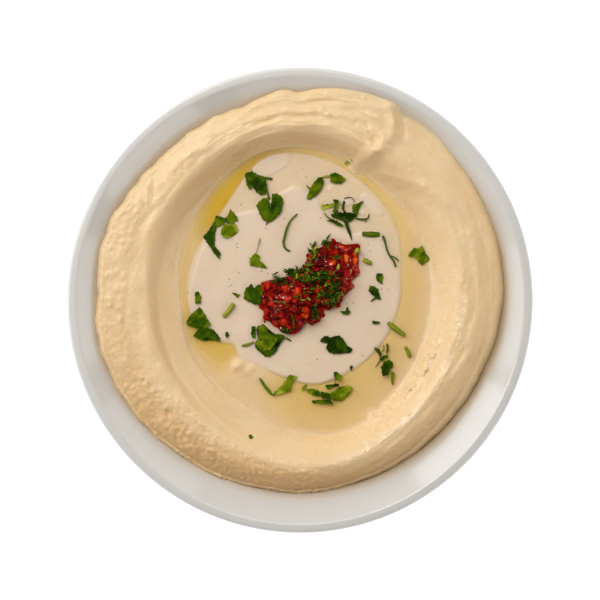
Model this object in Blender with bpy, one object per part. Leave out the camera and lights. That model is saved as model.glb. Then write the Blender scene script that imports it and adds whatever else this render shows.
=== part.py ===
"""A dish of hummus, ready to serve: a white bowl holding a ring of hummus swept round with a spoon, and in
the well of the ring a pool of tahini, golden oil round it, and a heap of red pepper paste.

Metres, +Z up. The origin is on the bowl's axis, at the bottom of its foot ring. Seen from above, +Y is the
far side of the bowl. Run with: blender --background --python part.py
"""

import math

import bmesh
import bpy
import numpy as np

# ---- driving dimensions ------------------------------------------------------------------------------------

SEGMENTS = 96               # all the round pieces share these angles, so that their gaps stay even
GAP = 0.0003                # clearance between pieces that touch

BOWL_RADIUS = 0.100
BOWL_HEIGHT = 0.038
FLOOR_RADIUS = 0.050        # the flat middle of the bowl, inside
FLOOR_HEIGHT = 0.008
LIP_RADIUS = 0.0957         # where the inner wall turns into the lip
LIP_ROUNDING = 0.0006       # how far the lip's inner edge lies below its top
WALL_POWER = 1.3            # the inner wall rises as this power of the way out: nearly a cone
WALL = 0.0042               # thickness of the bowl
FOOT_OUTER = 0.0500
FOOT_INNER = 0.0455
WALL_STEPS = [0.050, 0.053, 0.058, 0.066, 0.080, LIP_RADIUS]    # radii of the rings down the inner wall

OIL_LEVEL = 0.0225
TAHINI_TOP = 0.0232         # the tahini stands a little proud of the oil
WELL_DEPTH = 0.0042         # from the oil's level to the bottom of the well in the hummus
CREST_HEIGHT = 0.0350       # top of the hummus ring
CREST_AT = 0.50             # where the crest lies, from the well's edge (0) to the hummus's outer edge (1)
SHOULDER = 0.0034           # height of the hummus's steep outer side, where it meets the bowl
SHOULDER_AT = 0.955
WELL_RINGS = (0.55, 0.80, 0.92)     # the rings of points in the well, as parts of its radius
PASTE_HEIGHT = 0.0082
PASTE_SEGMENTS = 36

# Swellings of a round outline: angle in degrees, width in degrees, height in metres.
HUMMUS_LOBES = [(62, 16, 0.0040), (15, 20, 0.0016), (125, 20, -0.0034), (-158, 20, 0.0028), (-50, 25, -0.0014)]
WELL_LOBES = [(180, 35, 0.0040), (55, 15, -0.0046), (-70, 15, 0.0040), (-128, 14, -0.0020)]
TAHINI_LOBES = [(138, 20, -0.0080), (-137, 14, -0.0060), (-35, 20, 0.0025), (15, 14, -0.0025)]


# ---- shapes seen from above --------------------------------------------------------------------------------

def bell(angle, centre, width):
    """A smooth hump round the circle: 1 at its centre, falling away over its width (both in degrees)."""
    away = (angle - math.radians(centre) + math.pi) % (2 * math.pi) - math.pi
    return np.exp(-0.5 * (away / math.radians(width)) ** 2)


def outline(angle, radius, offset, stretch, lobes):
    """An uneven circle: its centre moved by offset, longer along Y by stretch, with swellings."""
    edge = radius + offset[0] * np.cos(angle) + offset[1] * np.sin(angle) - stretch * np.cos(2 * angle)
    for centre, width, height in lobes:
        edge = edge + height * bell(angle, centre, width)
    return edge


def hummus_edge(angle):
    return outline(angle, 0.0862, (-0.0005, 0.0035), 0.0, HUMMUS_LOBES)


def well_edge(angle):
    """Where the hummus dips under the oil."""
    return outline(angle, 0.0564, (0.0042, 0.0050), 0.0041, WELL_LOBES)


def tahini_edge(angle):
    return outline(angle, 0.04875, (-0.00355, 0.0130), 0.00175, TAHINI_LOBES)


# ---- heights -----------------------------------------------------------------------------------------------

def wall_curve(radius):
    """The inner wall rises from the flat floor to the lip as a power of the way out."""
    rise = BOWL_HEIGHT - LIP_ROUNDING - FLOOR_HEIGHT
    along = np.clip((radius - FLOOR_RADIUS) / (LIP_RADIUS - FLOOR_RADIUS), 0.0, None)
    return FLOOR_HEIGHT + rise * along ** WALL_POWER


def wall_slope(radius):
    step = 0.0005
    return (wall_curve(radius + step) - wall_curve(radius - step)) / (2 * step)


def wall_height(radius):
    """Height of the faceted inner wall, which is straight between its rings."""
    return np.interp(radius, WALL_STEPS, wall_curve(np.array(WALL_STEPS)))


def rest_on_wall(radius):
    """Height that clears the inner wall by GAP, measured square to it."""
    return wall_height(radius) + GAP * np.sqrt(1 + wall_slope(radius) ** 2)


def ridge(radius, angle, line, width, height):
    """A raised line across the ring: its angle in degrees follows the points (radius, angle) of line."""
    centre = np.interp(radius, [point[0] for point in line], [point[1] for point in line])
    away = np.degrees((angle - np.radians(centre) + math.pi) % (2 * math.pi) - math.pi)
    inside = np.clip((radius - line[0][0]) / 0.004, 0, 1) * np.clip((line[-1][0] - radius) / 0.004, 0, 1)
    return height * inside * np.exp(-0.5 * (away / width) ** 2)


def hummus_top(radius, angle):
    """Height of the hummus: a dished well, a bank up to the crest of the ring, and a rounded outer side."""
    well = well_edge(angle)
    edge = hummus_edge(angle)
    edge_height = rest_on_wall(edge)
    across = (radius - well) / (edge - well)
    crest = CREST_HEIGHT + 0.0010 * bell(angle, 62, 16) + 0.0005 * np.sin(3 * angle + 0.6)

    dish = OIL_LEVEL - WELL_DEPTH * (1 - np.clip(radius / well, 0, 1) ** 6)

    climb = np.clip(across / CREST_AT, 0, 1)
    steep = np.clip(bell(angle, 112, 38) + 0.55 * bell(angle, -20, 40), 0, 1)
    bank = steep * (1 - (1 - climb) ** 1.8) + (1 - steep) * (0.25 * climb + 0.75 * climb ** 2 * (3 - 2 * climb))
    bank_height = OIL_LEVEL + (crest - OIL_LEVEL) * bank

    fall = np.clip((across - CREST_AT) / (SHOULDER_AT - CREST_AT), 0, 1)
    shoulder = np.minimum(edge_height + SHOULDER, crest - 0.0004)
    back_height = crest - (crest - shoulder) * fall ** 2.2
    side = np.clip((across - SHOULDER_AT) / (1 - SHOULDER_AT), 0, 1)
    back_height = back_height + (edge_height - shoulder) * side

    height = np.where(across < 0, dish, np.where(across < CREST_AT, bank_height, back_height))
    fold = [(0.059, 60), (0.064, 66), (0.071, 61), (0.078, 58), (0.086, 63)]
    step = [(0.050, -150), (0.056, -140), (0.066, -150)]
    raised = ridge(radius, angle, fold, 3.2, 0.0012) + ridge(radius, angle, step, 9.0, 0.0008)
    return height + raised * np.clip(10 * across, 0, 1)


def above_well(radius, angle):
    """Height that clears the faceted well of the hummus, which is straight between its rings."""
    well = well_edge(angle)
    parts = np.array((0.0,) + WELL_RINGS + (1.0,))
    heights = np.array([hummus_top(part * well, angle) for part in parts])
    faceted = [np.interp(r, parts * w, h) for r, w, h in zip(radius, well, heights.T)]
    return np.array(faceted) + 1.4 * GAP


# ---- mesh tools --------------------------------------------------------------------------------------------

def add_material(name, colour, roughness, metallic=0.0):
    material = bpy.data.materials.new(name)
    material.use_nodes = True
    shader = material.node_tree.nodes["Principled BSDF"]
    shader.inputs["Base Color"].default_value = (*colour, 1.0)
    shader.inputs["Roughness"].default_value = roughness
    shader.inputs["Metallic"].default_value = metallic
    material.diffuse_color = (*colour, 1.0)
    return material


def finish(mesh, name, material, sharp_angle=40):
    """Put a finished mesh into the scene as one smooth-shaded object."""
    body = bpy.data.objects.new(name, mesh)
    bpy.context.scene.collection.objects.link(body)
    mesh.materials.append(material)
    mesh.shade_smooth()
    mesh.set_sharp_from_angle(angle=math.radians(sharp_angle))
    return body


def closed_rings(name, rings, material, loop=False, sharp_angle=40):
    """Skin a list of rings, each an array of points (x, y, z) at the shared angles.

    A ring of one point is a pole. With loop=True the last ring joins the first, which makes a ring-shaped
    body; otherwise the first and last rings are poles.
    """
    mesh_builder = bmesh.new()
    rows = [[mesh_builder.verts.new(point) for point in ring] for ring in rings]
    pairs = list(zip(rows, rows[1:]))
    if loop:
        pairs.append((rows[-1], rows[0]))
    for first, second in pairs:
        count = max(len(first), len(second))
        for i in range(count):
            j = (i + 1) % count
            corners = [first[i % len(first)], first[j % len(first)],
                       second[j % len(second)], second[i % len(second)]]
            face = [corner for k, corner in enumerate(corners) if corner not in corners[:k]]
            mesh_builder.faces.new(face)
    bmesh.ops.recalc_face_normals(mesh_builder, faces=mesh_builder.faces)
    mesh = bpy.data.meshes.new(name)
    mesh_builder.to_mesh(mesh)
    mesh_builder.free()
    return finish(mesh, name, material, sharp_angle)


def ring(angle, radius, height, centre=(0.0, 0.0)):
    """One ring of points: radius and height may be numbers or arrays over the angles."""
    x = centre[0] + radius * np.cos(angle)
    y = centre[1] + radius * np.sin(angle)
    return np.column_stack([x, y, height + 0 * angle])


# ---- the pieces --------------------------------------------------------------------------------------------

def make_bowl():
    """White glazed bowl: a turned profile from the middle of the floor over the lip to the middle below."""
    steps = np.array(WALL_STEPS)
    inner = list(zip(steps, wall_curve(steps)))
    lip = [(LIP_RADIUS + 0.0009, BOWL_HEIGHT), (BOWL_RADIUS - 0.0013, BOWL_HEIGHT),
           (BOWL_RADIUS, BOWL_HEIGHT - 0.0011), (BOWL_RADIUS - 0.0002, BOWL_HEIGHT - 0.0026)]
    slope = wall_slope(steps)
    length = np.sqrt(1 + slope ** 2)
    outer = list(zip(steps + WALL * slope / length, wall_curve(steps) - WALL / length))
    underside = FLOOR_HEIGHT - WALL
    foot = [(FOOT_OUTER, 0.0), (FOOT_INNER, 0.0), (FOOT_INNER - 0.0006, underside)]
    profile = [(0.0, FLOOR_HEIGHT)] + inner + lip + outer[-2:0:-1] + [(FOOT_OUTER + 0.0007, underside)]
    profile += foot + [(0.0, underside)]

    builder = bmesh.new()
    points = [builder.verts.new((radius, 0.0, height)) for radius, height in profile]
    edges = [builder.edges.new(pair) for pair in zip(points, points[1:])]
    bmesh.ops.spin(builder, geom=points + edges, axis=(0, 0, 1), cent=(0, 0, 0), steps=SEGMENTS,
                   angle=2 * math.pi, use_merge=True)
    bmesh.ops.remove_doubles(builder, verts=builder.verts, dist=0.00001)
    bmesh.ops.recalc_face_normals(builder, faces=builder.faces)
    mesh = bpy.data.meshes.new("bowl")
    builder.to_mesh(mesh)
    builder.free()
    return finish(mesh, "bowl", add_material("white_glaze", (0.78, 0.75, 0.72), 0.12))


def make_hummus(angle):
    """The hummus: its top from the middle of the well out over the crest, its underside along the bowl."""
    well = well_edge(angle)
    edge = hummus_edge(angle)
    rings = [[(0.0, 0.0, float(hummus_top(0.0, 0.0)))]]
    for part in WELL_RINGS:
        rings.append(ring(angle, part * well, hummus_top(part * well, angle)))
    for across in (0.0, 0.10, 0.20, 0.31, 0.42, 0.53, 0.66, 0.79, 0.89, SHOULDER_AT, 1.0):
        radius = well + across * (edge - well)
        rings.append(ring(angle, radius, hummus_top(radius, angle)))
    for radius in reversed(WALL_STEPS[:4]):
        rings.append(ring(angle, radius, float(rest_on_wall(radius))))
    rings.append([(0.0, 0.0, float(rest_on_wall(0.0)))])
    return closed_rings("hummus", rings, add_material("hummus", (0.86, 0.66, 0.40), 0.55))


def make_tahini(angle):
    """The pool of tahini: flat on top, with a rounded edge, filling the bottom of the well."""
    edge = tahini_edge(angle)
    rings = [[(0.0, 0.0, TAHINI_TOP)], ring(angle, edge - 0.0009, TAHINI_TOP),
             ring(angle, edge, TAHINI_TOP - 0.0009)]
    for part in (1.0, 0.90, 0.70):
        rings.append(ring(angle, part * edge, above_well(part * edge, angle)))
    rings.append([(0.0, 0.0, float(above_well(np.zeros(1), np.zeros(1))[0]))])
    return closed_rings("tahini", rings, add_material("tahini", (0.74, 0.60, 0.47), 0.40))


def make_olive_oil(angle):
    """The oil: a level pool between the tahini and the hummus, thin on the left and wide elsewhere."""
    inner = tahini_edge(angle) + GAP
    outer = well_edge(angle) - 0.0010
    rings = [ring(angle, inner, OIL_LEVEL), ring(angle, outer, OIL_LEVEL)]
    for part in (0.75, 0.40, 0.0):
        radius = inner + part * (outer - inner)
        rings.append(ring(angle, radius, np.minimum(above_well(radius, angle), OIL_LEVEL - 0.0001)))
    return closed_rings("olive_oil", rings, add_material("olive_oil", (0.62, 0.38, 0.06), 0.08), loop=True)


def make_pepper_paste():
    """The heap of pepper paste: a long low mound of two rounded lumps, lying across the tahini."""
    angle = np.linspace(0, 2 * math.pi, PASTE_SEGMENTS, endpoint=False)
    centre = (0.0045, 0.0040)
    lean = math.radians(41)
    half_length = 0.0245
    half_width = 0.0118
    turn = angle - lean
    edge = 1 / np.sqrt((np.cos(turn) / half_length) ** 2 + (np.sin(turn) / half_width) ** 2)
    edge = edge * (1 + 0.06 * np.sin(3 * angle + 1.0) + 0.045 * np.sin(7 * angle) + 0.03 * np.cos(11 * angle))
    base = TAHINI_TOP + GAP
    rings = [[(*centre, base + PASTE_HEIGHT * 0.93)]]
    for part, rise in ((0.28, 1.0), (0.52, 0.92), (0.74, 0.70), (0.90, 0.40), (1.0, 0.12)):
        bumps = 1 + 0.10 * np.sin(5 * angle + 9 * part) * part
        rings.append(ring(angle, part * edge, base + PASTE_HEIGHT * rise * bumps, centre))
    rings.append(ring(angle, 0.97 * edge, base, centre))
    rings.append([(*centre, base)])
    return closed_rings("pepper_paste", rings, add_material("pepper_paste", (0.45, 0.03, 0.01), 0.30))


def main():
    for old in list(bpy.data.objects):
        bpy.data.objects.remove(old, do_unlink=True)
    angle = np.linspace(0, 2 * math.pi, SEGMENTS, endpoint=False)
    make_bowl()
    make_hummus(angle)
    make_tahini(angle)
    make_olive_oil(angle)
    make_pepper_paste()


main()
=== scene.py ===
import math

import bpy
import mathutils
import numpy as np
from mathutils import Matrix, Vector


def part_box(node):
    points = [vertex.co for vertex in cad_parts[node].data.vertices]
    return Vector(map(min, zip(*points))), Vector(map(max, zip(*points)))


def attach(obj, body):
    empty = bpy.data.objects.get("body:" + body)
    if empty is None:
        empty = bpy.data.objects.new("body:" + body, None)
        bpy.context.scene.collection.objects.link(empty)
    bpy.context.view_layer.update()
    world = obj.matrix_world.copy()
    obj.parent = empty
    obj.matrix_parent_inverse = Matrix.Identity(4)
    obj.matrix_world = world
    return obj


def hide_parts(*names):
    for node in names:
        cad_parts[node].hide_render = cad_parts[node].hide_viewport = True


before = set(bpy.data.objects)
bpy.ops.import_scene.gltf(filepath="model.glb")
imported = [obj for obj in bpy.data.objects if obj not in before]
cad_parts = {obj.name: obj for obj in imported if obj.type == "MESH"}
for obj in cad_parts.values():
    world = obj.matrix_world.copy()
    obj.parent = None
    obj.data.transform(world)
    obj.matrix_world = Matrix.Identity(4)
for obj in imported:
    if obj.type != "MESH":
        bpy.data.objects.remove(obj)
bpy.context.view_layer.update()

mm = 0.001

# Everything below is worked out in millimetres from the bowl's axis and foot, and turned into metres
# when a mesh is made. Turns round the dish are in degrees from +X, towards +Y.

dish = {
    "centre": (-0.5, 3.5),      # the middle of the spoon's sweep
    "oilLevel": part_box("olive_oil")[1][2] / mm,
    "rimHeight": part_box("bowl")[1][2] / mm,
    "rimRadius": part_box("bowl")[1][0] / mm,
    "spread": 1.017,            # how far the places in the well are moved out from the middle
}


# curves and random relief

def wrap(turn):     # brings a turn in degrees to between -180 and 180
    return (turn + 180.0) % 360.0 - 180.0


def smooth(value):      # 0 below 0, 1 above 1, and 3x^2 - 2x^3 between
    value = np.clip(value, 0.0, 1.0)
    return value * value * (3.0 - 2.0 * value)


def bell(distance, width):      # exp(-distance^2 / 2 width^2)
    return np.exp(-0.5 * (distance / width) ** 2)


def softEnds(place, first, last, length, lastLength=None):
    # 0 outside first and last, 1 well inside them, smooth over length at the first and lastLength at the last
    return smooth((place - first) / length) * smooth((last - place) / (lastLength or length))


def cubicBetween(place, stops, values):
    # between two stops the cubic that has the value and the slope of both; a stop's slope is that of the
    # parabola through it and its two neighbours
    slopes = np.gradient(values, stops)
    at = np.clip(np.searchsorted(stops, place, side="right") - 1, 0, len(stops) - 2)
    step = stops[at + 1] - stops[at]
    u = (place - stops[at]) / step
    near = (1 + 2 * u) * (1 - u) ** 2 * values[at] + u * (1 - u) ** 2 * step * slopes[at]
    far = u * u * (3 - 2 * u) * values[at + 1] + u * u * (u - 1) * step * slopes[at + 1]
    return near + far


def roundCurve(turn, stops):        # a closed curve through (turn, value) stops
    stops = np.array(sorted(stops), dtype=float)
    turns = np.concatenate([stops[-2:, 0] - 360.0, stops[:, 0], stops[:2, 0] + 360.0])
    values = np.concatenate([stops[-2:, 1], stops[:, 1], stops[:2, 1]])
    return cubicBetween(wrap(np.asarray(turn, dtype=float)), turns, values)


def openCurve(place, stops):        # a curve through (place, value) stops in a row, level beyond both ends
    stops = np.array(stops, dtype=float)
    place = np.clip(np.asarray(place, dtype=float), stops[0, 0], stops[-1, 0])
    return cubicBetween(place, stops[:, 0], stops[:, 1])


def grain(shape, lengths, seed):
    # an even random relief of mean 0 and spread 1 that closes on itself: white noise whose waves shorter than
    # lengths, in grid steps along each axis, are faded out by a bell curve
    noise = np.random.default_rng(seed).standard_normal(shape)
    waves = np.fft.fft2(noise)
    down = np.fft.fftfreq(shape[0])[:, None] * lengths[0]
    along = np.fft.fftfreq(shape[1])[None, :] * lengths[1]
    field = np.fft.ifft2(waves * np.exp(-0.5 * (down ** 2 + along ** 2) * 6.0)).real
    return (field - field.mean()) / field.std()


def placeAt(radius, turn):      # x and y of a place that is given round the sweep's centre
    angle = np.radians(turn)
    return dish["centre"][0] + radius * np.cos(angle), dish["centre"][1] + radius * np.sin(angle)


def polarOf(x, y):      # radius and turn round the sweep's centre
    dx = np.asarray(x) - dish["centre"][0]
    dy = np.asarray(y) - dish["centre"][1]
    return np.hypot(dx, dy), np.degrees(np.arctan2(dy, dx))


def fromAxis(radius, turn):     # distance from the bowl's axis of a place given round the sweep's centre
    return np.hypot(*placeAt(radius, turn))


def allRound(columns):      # a row of even turns
    return np.linspace(-180, 180, columns, endpoint=False)[None, :]


def turned(dx, dy, angle):      # along and across an axis that lies at an angle in radians
    c, s = math.cos(angle), math.sin(angle)
    return dx * c + dy * s, dy * c - dx * s


# meshes

def makeObject(name, points, faces, slotName=None, attributes=None):
    # points is an array (n, 3) in millimetres; faces is a list of index arrays (m, 3) or (m, 4)
    mesh = bpy.data.meshes.new(name)
    sizes = np.concatenate([np.full(len(part), part.shape[1]) for part in faces])
    corners = np.concatenate([part.ravel() for part in faces])
    mesh.vertices.add(len(points))
    mesh.vertices.foreach_set("co", (np.asarray(points) * mm).astype(np.float32).ravel())
    mesh.loops.add(len(corners))
    mesh.loops.foreach_set("vertex_index", corners.astype(np.int32))
    mesh.polygons.add(len(sizes))
    mesh.polygons.foreach_set("loop_start", np.concatenate([[0], np.cumsum(sizes)[:-1]]).astype(np.int32))
    mesh.polygons.foreach_set("use_smooth", np.full(len(sizes), True))
    mesh.update(calc_edges=True)
    for key, values in (attributes or {}).items():
        layer = mesh.attributes.new(key, "FLOAT", "POINT")
        layer.data.foreach_set("value", np.asarray(values, dtype=np.float32).ravel())
    mesh.validate()
    piece = bpy.data.objects.new(name, mesh)
    bpy.context.scene.collection.objects.link(piece)
    if slotName:
        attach(piece, "root")
    return piece


def ringFaces(rows, columns):       # quads between the rows of a grid whose columns go round
    row = np.arange(rows - 1)[:, None] * columns
    column = np.arange(columns)[None, :]
    after = (column + 1) % columns
    quads = [row + column, row + columns + column, row + columns + after, row + after]
    return np.stack(np.broadcast_arrays(*quads), axis=-1).reshape(-1, 4)


def fanFaces(pole, ringStart, columns):     # triangles from a pole to the ring that starts at ringStart
    column = np.arange(columns)
    after = (column + 1) % columns
    return np.stack([np.full(columns, pole), ringStart + column, ringStart + after], axis=-1)


def shellFaces(rows, columns, flip=False):
    # a grid whose columns go round and the two points after it, poles that close its first and last rows
    count = rows * columns
    faces = [ringFaces(rows, columns), fanFaces(count, 0, columns),
             fanFaces(count + 1, count - columns, columns)[:, ::-1]]
    return [part[:, ::-1] for part in faces] if flip else faces


def makeShell(name, grid, poles, slotName, attributes):
    # a closed surface from x, y and z, each (rows, columns), and its two poles; an attribute is a pair: its
    # values on the grid and its values at the two poles
    points = np.concatenate([np.stack(grid, axis=-1).reshape(-1, 3), poles])
    values = {key: np.append(field, ends) for key, (field, ends) in attributes.items()}
    return makeObject(name, points, shellFaces(*grid[0].shape), slotName, values)


def withFoot(x, y, height, low):
    # a last row straight below the edge of the grid, at the height low
    return [np.concatenate([field, last]) for field, last in
            ((x, x[-1:]), (y, y[-1:]), (height, 0 * height[-1:] + low))]


def joinShells(shells):
    # many (points, faces) as one: the points in a row, each shell's faces counted on from the shell before it
    starts = np.cumsum([0] + [len(points) for points, _ in shells])
    rings = [faces[0] + start for (_, faces), start in zip(shells, starts)]
    fans = [part + start for (_, faces), start in zip(shells, starts) for part in faces[1:]]
    return np.concatenate([points for points, _ in shells]), rings + fans


def repeatShell(count, rows, columns, flip=False):      # the faces of count shells of the same size
    starts = np.arange(count)[:, None, None] * (rows * columns + 2)
    return [(part[None] + starts).reshape(-1, part.shape[1]) for part in shellFaces(rows, columns, flip)]


def turnedFrames(yaw, tilt, lean):
    # rotation matrices (n, 3, 3): tilted about x, leant about y, then turned about z
    cy, sy, cx, sx, cl, sl = np.cos(yaw), np.sin(yaw), np.cos(tilt), np.sin(tilt), np.cos(lean), np.sin(lean)
    zero, one = 0 * yaw, 0 * yaw + 1
    aroundZ = np.stack([cy, -sy, zero, sy, cy, zero, zero, zero, one], -1).reshape(-1, 3, 3)
    aroundX = np.stack([one, zero, zero, zero, cx, -sx, zero, sx, cx], -1).reshape(-1, 3, 3)
    aroundY = np.stack([cl, zero, sl, zero, one, zero, -sl, zero, cl], -1).reshape(-1, 3, 3)
    return aroundZ @ aroundY @ aroundX


# shaders

class Value:
    # a shader socket that + - * and / work on: each adds one Math node
    def __init__(self, tree, socket):
        self.tree = tree
        self.socket = socket

    def combine(self, operation, left, right):
        node = self.tree.nodes.new("ShaderNodeMath")
        node.operation = operation
        for slot, value in zip(node.inputs, (left, right)):
            if isinstance(value, Value):
                self.tree.links.new(value.socket, slot)
            else:
                slot.default_value = value
        return Value(self.tree, node.outputs[0])

    def __add__(self, other):
        return self.combine("ADD", self, other)

    def __sub__(self, other):
        return self.combine("SUBTRACT", self, other)

    def __rsub__(self, other):
        return self.combine("SUBTRACT", other, self)

    def __mul__(self, other):
        return self.combine("MULTIPLY", self, other)

    def __truediv__(self, other):
        return self.combine("DIVIDE", self, other)

    __radd__ = __add__
    __rmul__ = __mul__


class Finish:
    # one material: a Principled shader with its fixed values, and the nodes that feed it
    def __init__(self, name, fixed):
        self.material = bpy.data.materials.new(name)
        self.material.use_nodes = True
        self.tree = self.material.node_tree
        self.shader = self.tree.nodes["Principled BSDF"]
        for key, value in fixed.items():
            self.set(key, value)

    def feed(self, socket, value):
        if isinstance(value, Value):
            self.tree.links.new(value.socket, socket)
        elif isinstance(value, tuple) and len(value) == 3 and socket.type == "RGBA":
            socket.default_value = (*value, 1.0)
        else:
            socket.default_value = value

    def set(self, key, value):
        self.feed(self.shader.inputs[key], value)

    def add(self, kind, settings=None, inputs=None, output=0):
        node = self.tree.nodes.new("ShaderNode" + kind)
        for key, value in (settings or {}).items():
            if key == "stops":
                ramp = node.color_ramp.elements
                while len(ramp) < len(value):
                    ramp.new(0.5)
                for element, (place, colour) in zip(ramp, value):
                    element.position = place
                    element.color = (*colour, 1.0)
            else:
                setattr(node, key, value)
        for key, value in (inputs or {}).items():
            self.feed(node.inputs[key], value)
        return Value(self.tree, node.outputs[output])

    def place(self):
        return self.add("TexCoord", output="Object")

    def attribute(self, key):
        return self.add("Attribute", {"attribute_name": key}, output="Fac")

    def noise(self, scale, detail=2.0, roughness=0.5):
        inputs = {"Vector": self.place(), "Scale": scale, "Detail": detail, "Roughness": roughness}
        return self.add("TexNoise", {}, inputs)

    def cells(self, scale):
        return self.add("TexVoronoi", {"feature": "F1"}, {"Vector": self.place(), "Scale": scale})

    def ramp(self, value, stops):
        return self.add("ValToRGB", {"stops": stops}, {0: value})

    def mask(self, value, low, high):       # 0 at low, 1 at high, smooth between
        inputs = {"Value": value, "From Min": low, "From Max": high}
        return self.add("MapRange", {"interpolation_type": "SMOOTHSTEP"}, inputs)

    def absolute(self, value):
        return self.add("Math", {"operation": "ABSOLUTE"}, {0: value})

    def larger(self, first, second):
        return self.add("Math", {"operation": "MAXIMUM"}, {0: first, 1: second})

    def blend(self, factor, first, second, mode="MIX"):
        return self.add("Mix", {"data_type": "RGBA", "blend_type": mode}, {0: factor, 6: first, 7: second}, 2)

    def bump(self, height, distance, strength=1.0, normal=None):
        inputs = {"Height": height, "Distance": distance * mm, "Strength": strength}
        if normal:
            inputs["Normal"] = normal
        return self.add("Bump", {}, inputs)


def scaled(colour, factors):        # a colour with each channel multiplied by its factor
    return tuple(part * factor for part, factor in zip(colour, factors))


# camera, light and table

view = {
    "height": 900.0, "width": 257.5,        # above the rim, and how much it takes in at the rim's level
    "sensor": 36.0, "far": 20.0,
}


def makeCamera():
    data = bpy.data.cameras.new("camera")
    data.sensor_width = view["sensor"]
    data.lens = view["sensor"] * view["height"] / view["width"]
    data.clip_end = view["far"]
    camera = bpy.data.objects.new("camera", data)
    camera.location = (0.0, 0.0, (view["height"] + dish["rimHeight"]) * mm)
    bpy.context.scene.collection.objects.link(camera)
    bpy.context.scene.camera = camera


light = {
    # softboxes round the dish: turn and height above the table in degrees, watts; distance and side in metres
    "boxes": [(138, 54, 3.65), (140, 22, 2.3), (178, 22, 1.25), (90, 55, 1.7), (225, 22, 0.4),
              (270, 22, 0.75), (315, 22, 1.4), (0, 22, 1.3), (45, 22, 0.8)],
    "distance": 0.9, "side": 0.5, "colour": (1.0, 0.99, 0.975), "sky": 0.025,
    "table": {"half": 4000.0, "glow": 0.93, "white": 0.16, "cloud": 0.97},
    # a low pale screen all round, far behind
    "screen": {"corners": 48, "radius": 3900.0, "height": 560.0, "glow": 0.26},
}


def makeSoftbox(turn, height, power):       # a square lamp on a sphere round the dish, facing its middle
    data = bpy.data.lights.new("softbox", "AREA")
    data.size = light["side"]
    data.energy = power
    data.color = light["colour"]
    lamp = bpy.data.objects.new("softbox", data)
    around, up = math.radians(turn), math.radians(height)
    level = math.cos(up)
    towards = mathutils.Vector((level * math.cos(around), level * math.sin(around), math.sin(up)))
    lamp.location = light["distance"] * towards
    lamp.rotation_euler = towards.to_track_quat("Z", "Y").to_euler()
    bpy.context.scene.collection.objects.link(lamp)


def paper(name, glow):
    return Finish(name, {"Roughness": 0.9, "Emission Color": (1.0, 1.0, 1.0), "Emission Strength": glow})


def makeLight():
    world = bpy.data.worlds.new("sky")
    world.use_nodes = True
    world.node_tree.nodes["Background"].inputs[1].default_value = light["sky"]
    bpy.context.scene.world = world
    bpy.context.scene.view_settings.view_transform = "Standard"
    for turn, height, power in light["boxes"]:
        makeSoftbox(turn, height, power)

    table = light["table"]
    white = (table["white"],) * 3
    finish = paper("white_table", table["glow"])
    clouded = scaled(white, (table["cloud"],) * 3)
    finish.set("Base Color", finish.blend(finish.noise(3.0) * 0.1, white, clouded))
    side = table["half"]
    corners = np.array([[-side, -side, 0], [side, -side, 0], [side, side, 0], [-side, side, 0]], dtype=float)
    floor = makeObject("table", corners, [np.array([[0, 1, 2, 3]])])
    floor.data.materials.append(finish.material)

    screenSize = light["screen"]
    around = np.linspace(0, 2 * np.pi, screenSize["corners"], endpoint=False)
    ring = screenSize["radius"] * np.column_stack([np.cos(around), np.sin(around), 0 * around])
    corners = np.concatenate([ring, ring + [0, 0, screenSize["height"]]])
    screen = makeObject("backdrop", corners, [ringFaces(2, screenSize["corners"])])
    screen.data.materials.append(paper("backdrop", screenSize["glow"]).material)


# outlines of the filling seen from above, as (turn, radius) round the sweep's centre

def spread(stops):
    return [(turn, radius * dish["spread"]) for turn, radius in stops]


hummusEdgeStops = [(-180, 87.5), (-165, 89.5), (-150, 89.2), (-135, 88.2), (-120, 87.5), (-105, 87.3),
                   (-90, 87.4), (-75, 86.7), (-60, 86.5), (-45, 86.3), (-30, 86.5), (-15, 87.7),
                   (0, 88.6), (15, 88.7), (30, 88.6), (42, 88.8), (50, 90.2), (60, 90.6), (70, 90.8),
                   (78, 89.8), (85, 88.2), (90, 86.7), (95, 87.7), (100, 86.2), (106, 84.5), (120, 84.2),
                   (132, 83.8), (145, 84.6), (155, 86.4), (168, 87.6)]
oilEdgeStops = spread([(-180, 51.5), (-150, 52.5), (-125, 52.5), (-108, 55.0), (-92, 60.5), (-70, 64.3),
                       (-45, 60.3), (-20, 57.3), (5, 56.5), (35, 57.5), (55, 57.5), (68, 60.5),
                       (90, 63.3), (108, 62.5), (122, 59.6), (145, 55.7), (165, 53.0)])
tahiniEdgeStops = spread([(-178, 48.8), (-164, 47.5), (-151, 43.5), (-142, 37.5), (-131, 38.8),
                          (-119, 36.8), (-100, 37.6), (-79, 41.0), (-62, 41.0), (-39, 42.0), (-20, 43.0),
                          (-5, 44.0), (10, 45.3), (21, 47.7), (34, 50.9), (45, 53.0), (56, 54.7),
                          (66, 56.4), (80, 59.2), (94, 60.8), (103, 60.5), (110, 58.2), (115, 55.6),
                          (128, 50.3), (150, 47.5), (168, 48.7)])
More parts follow.
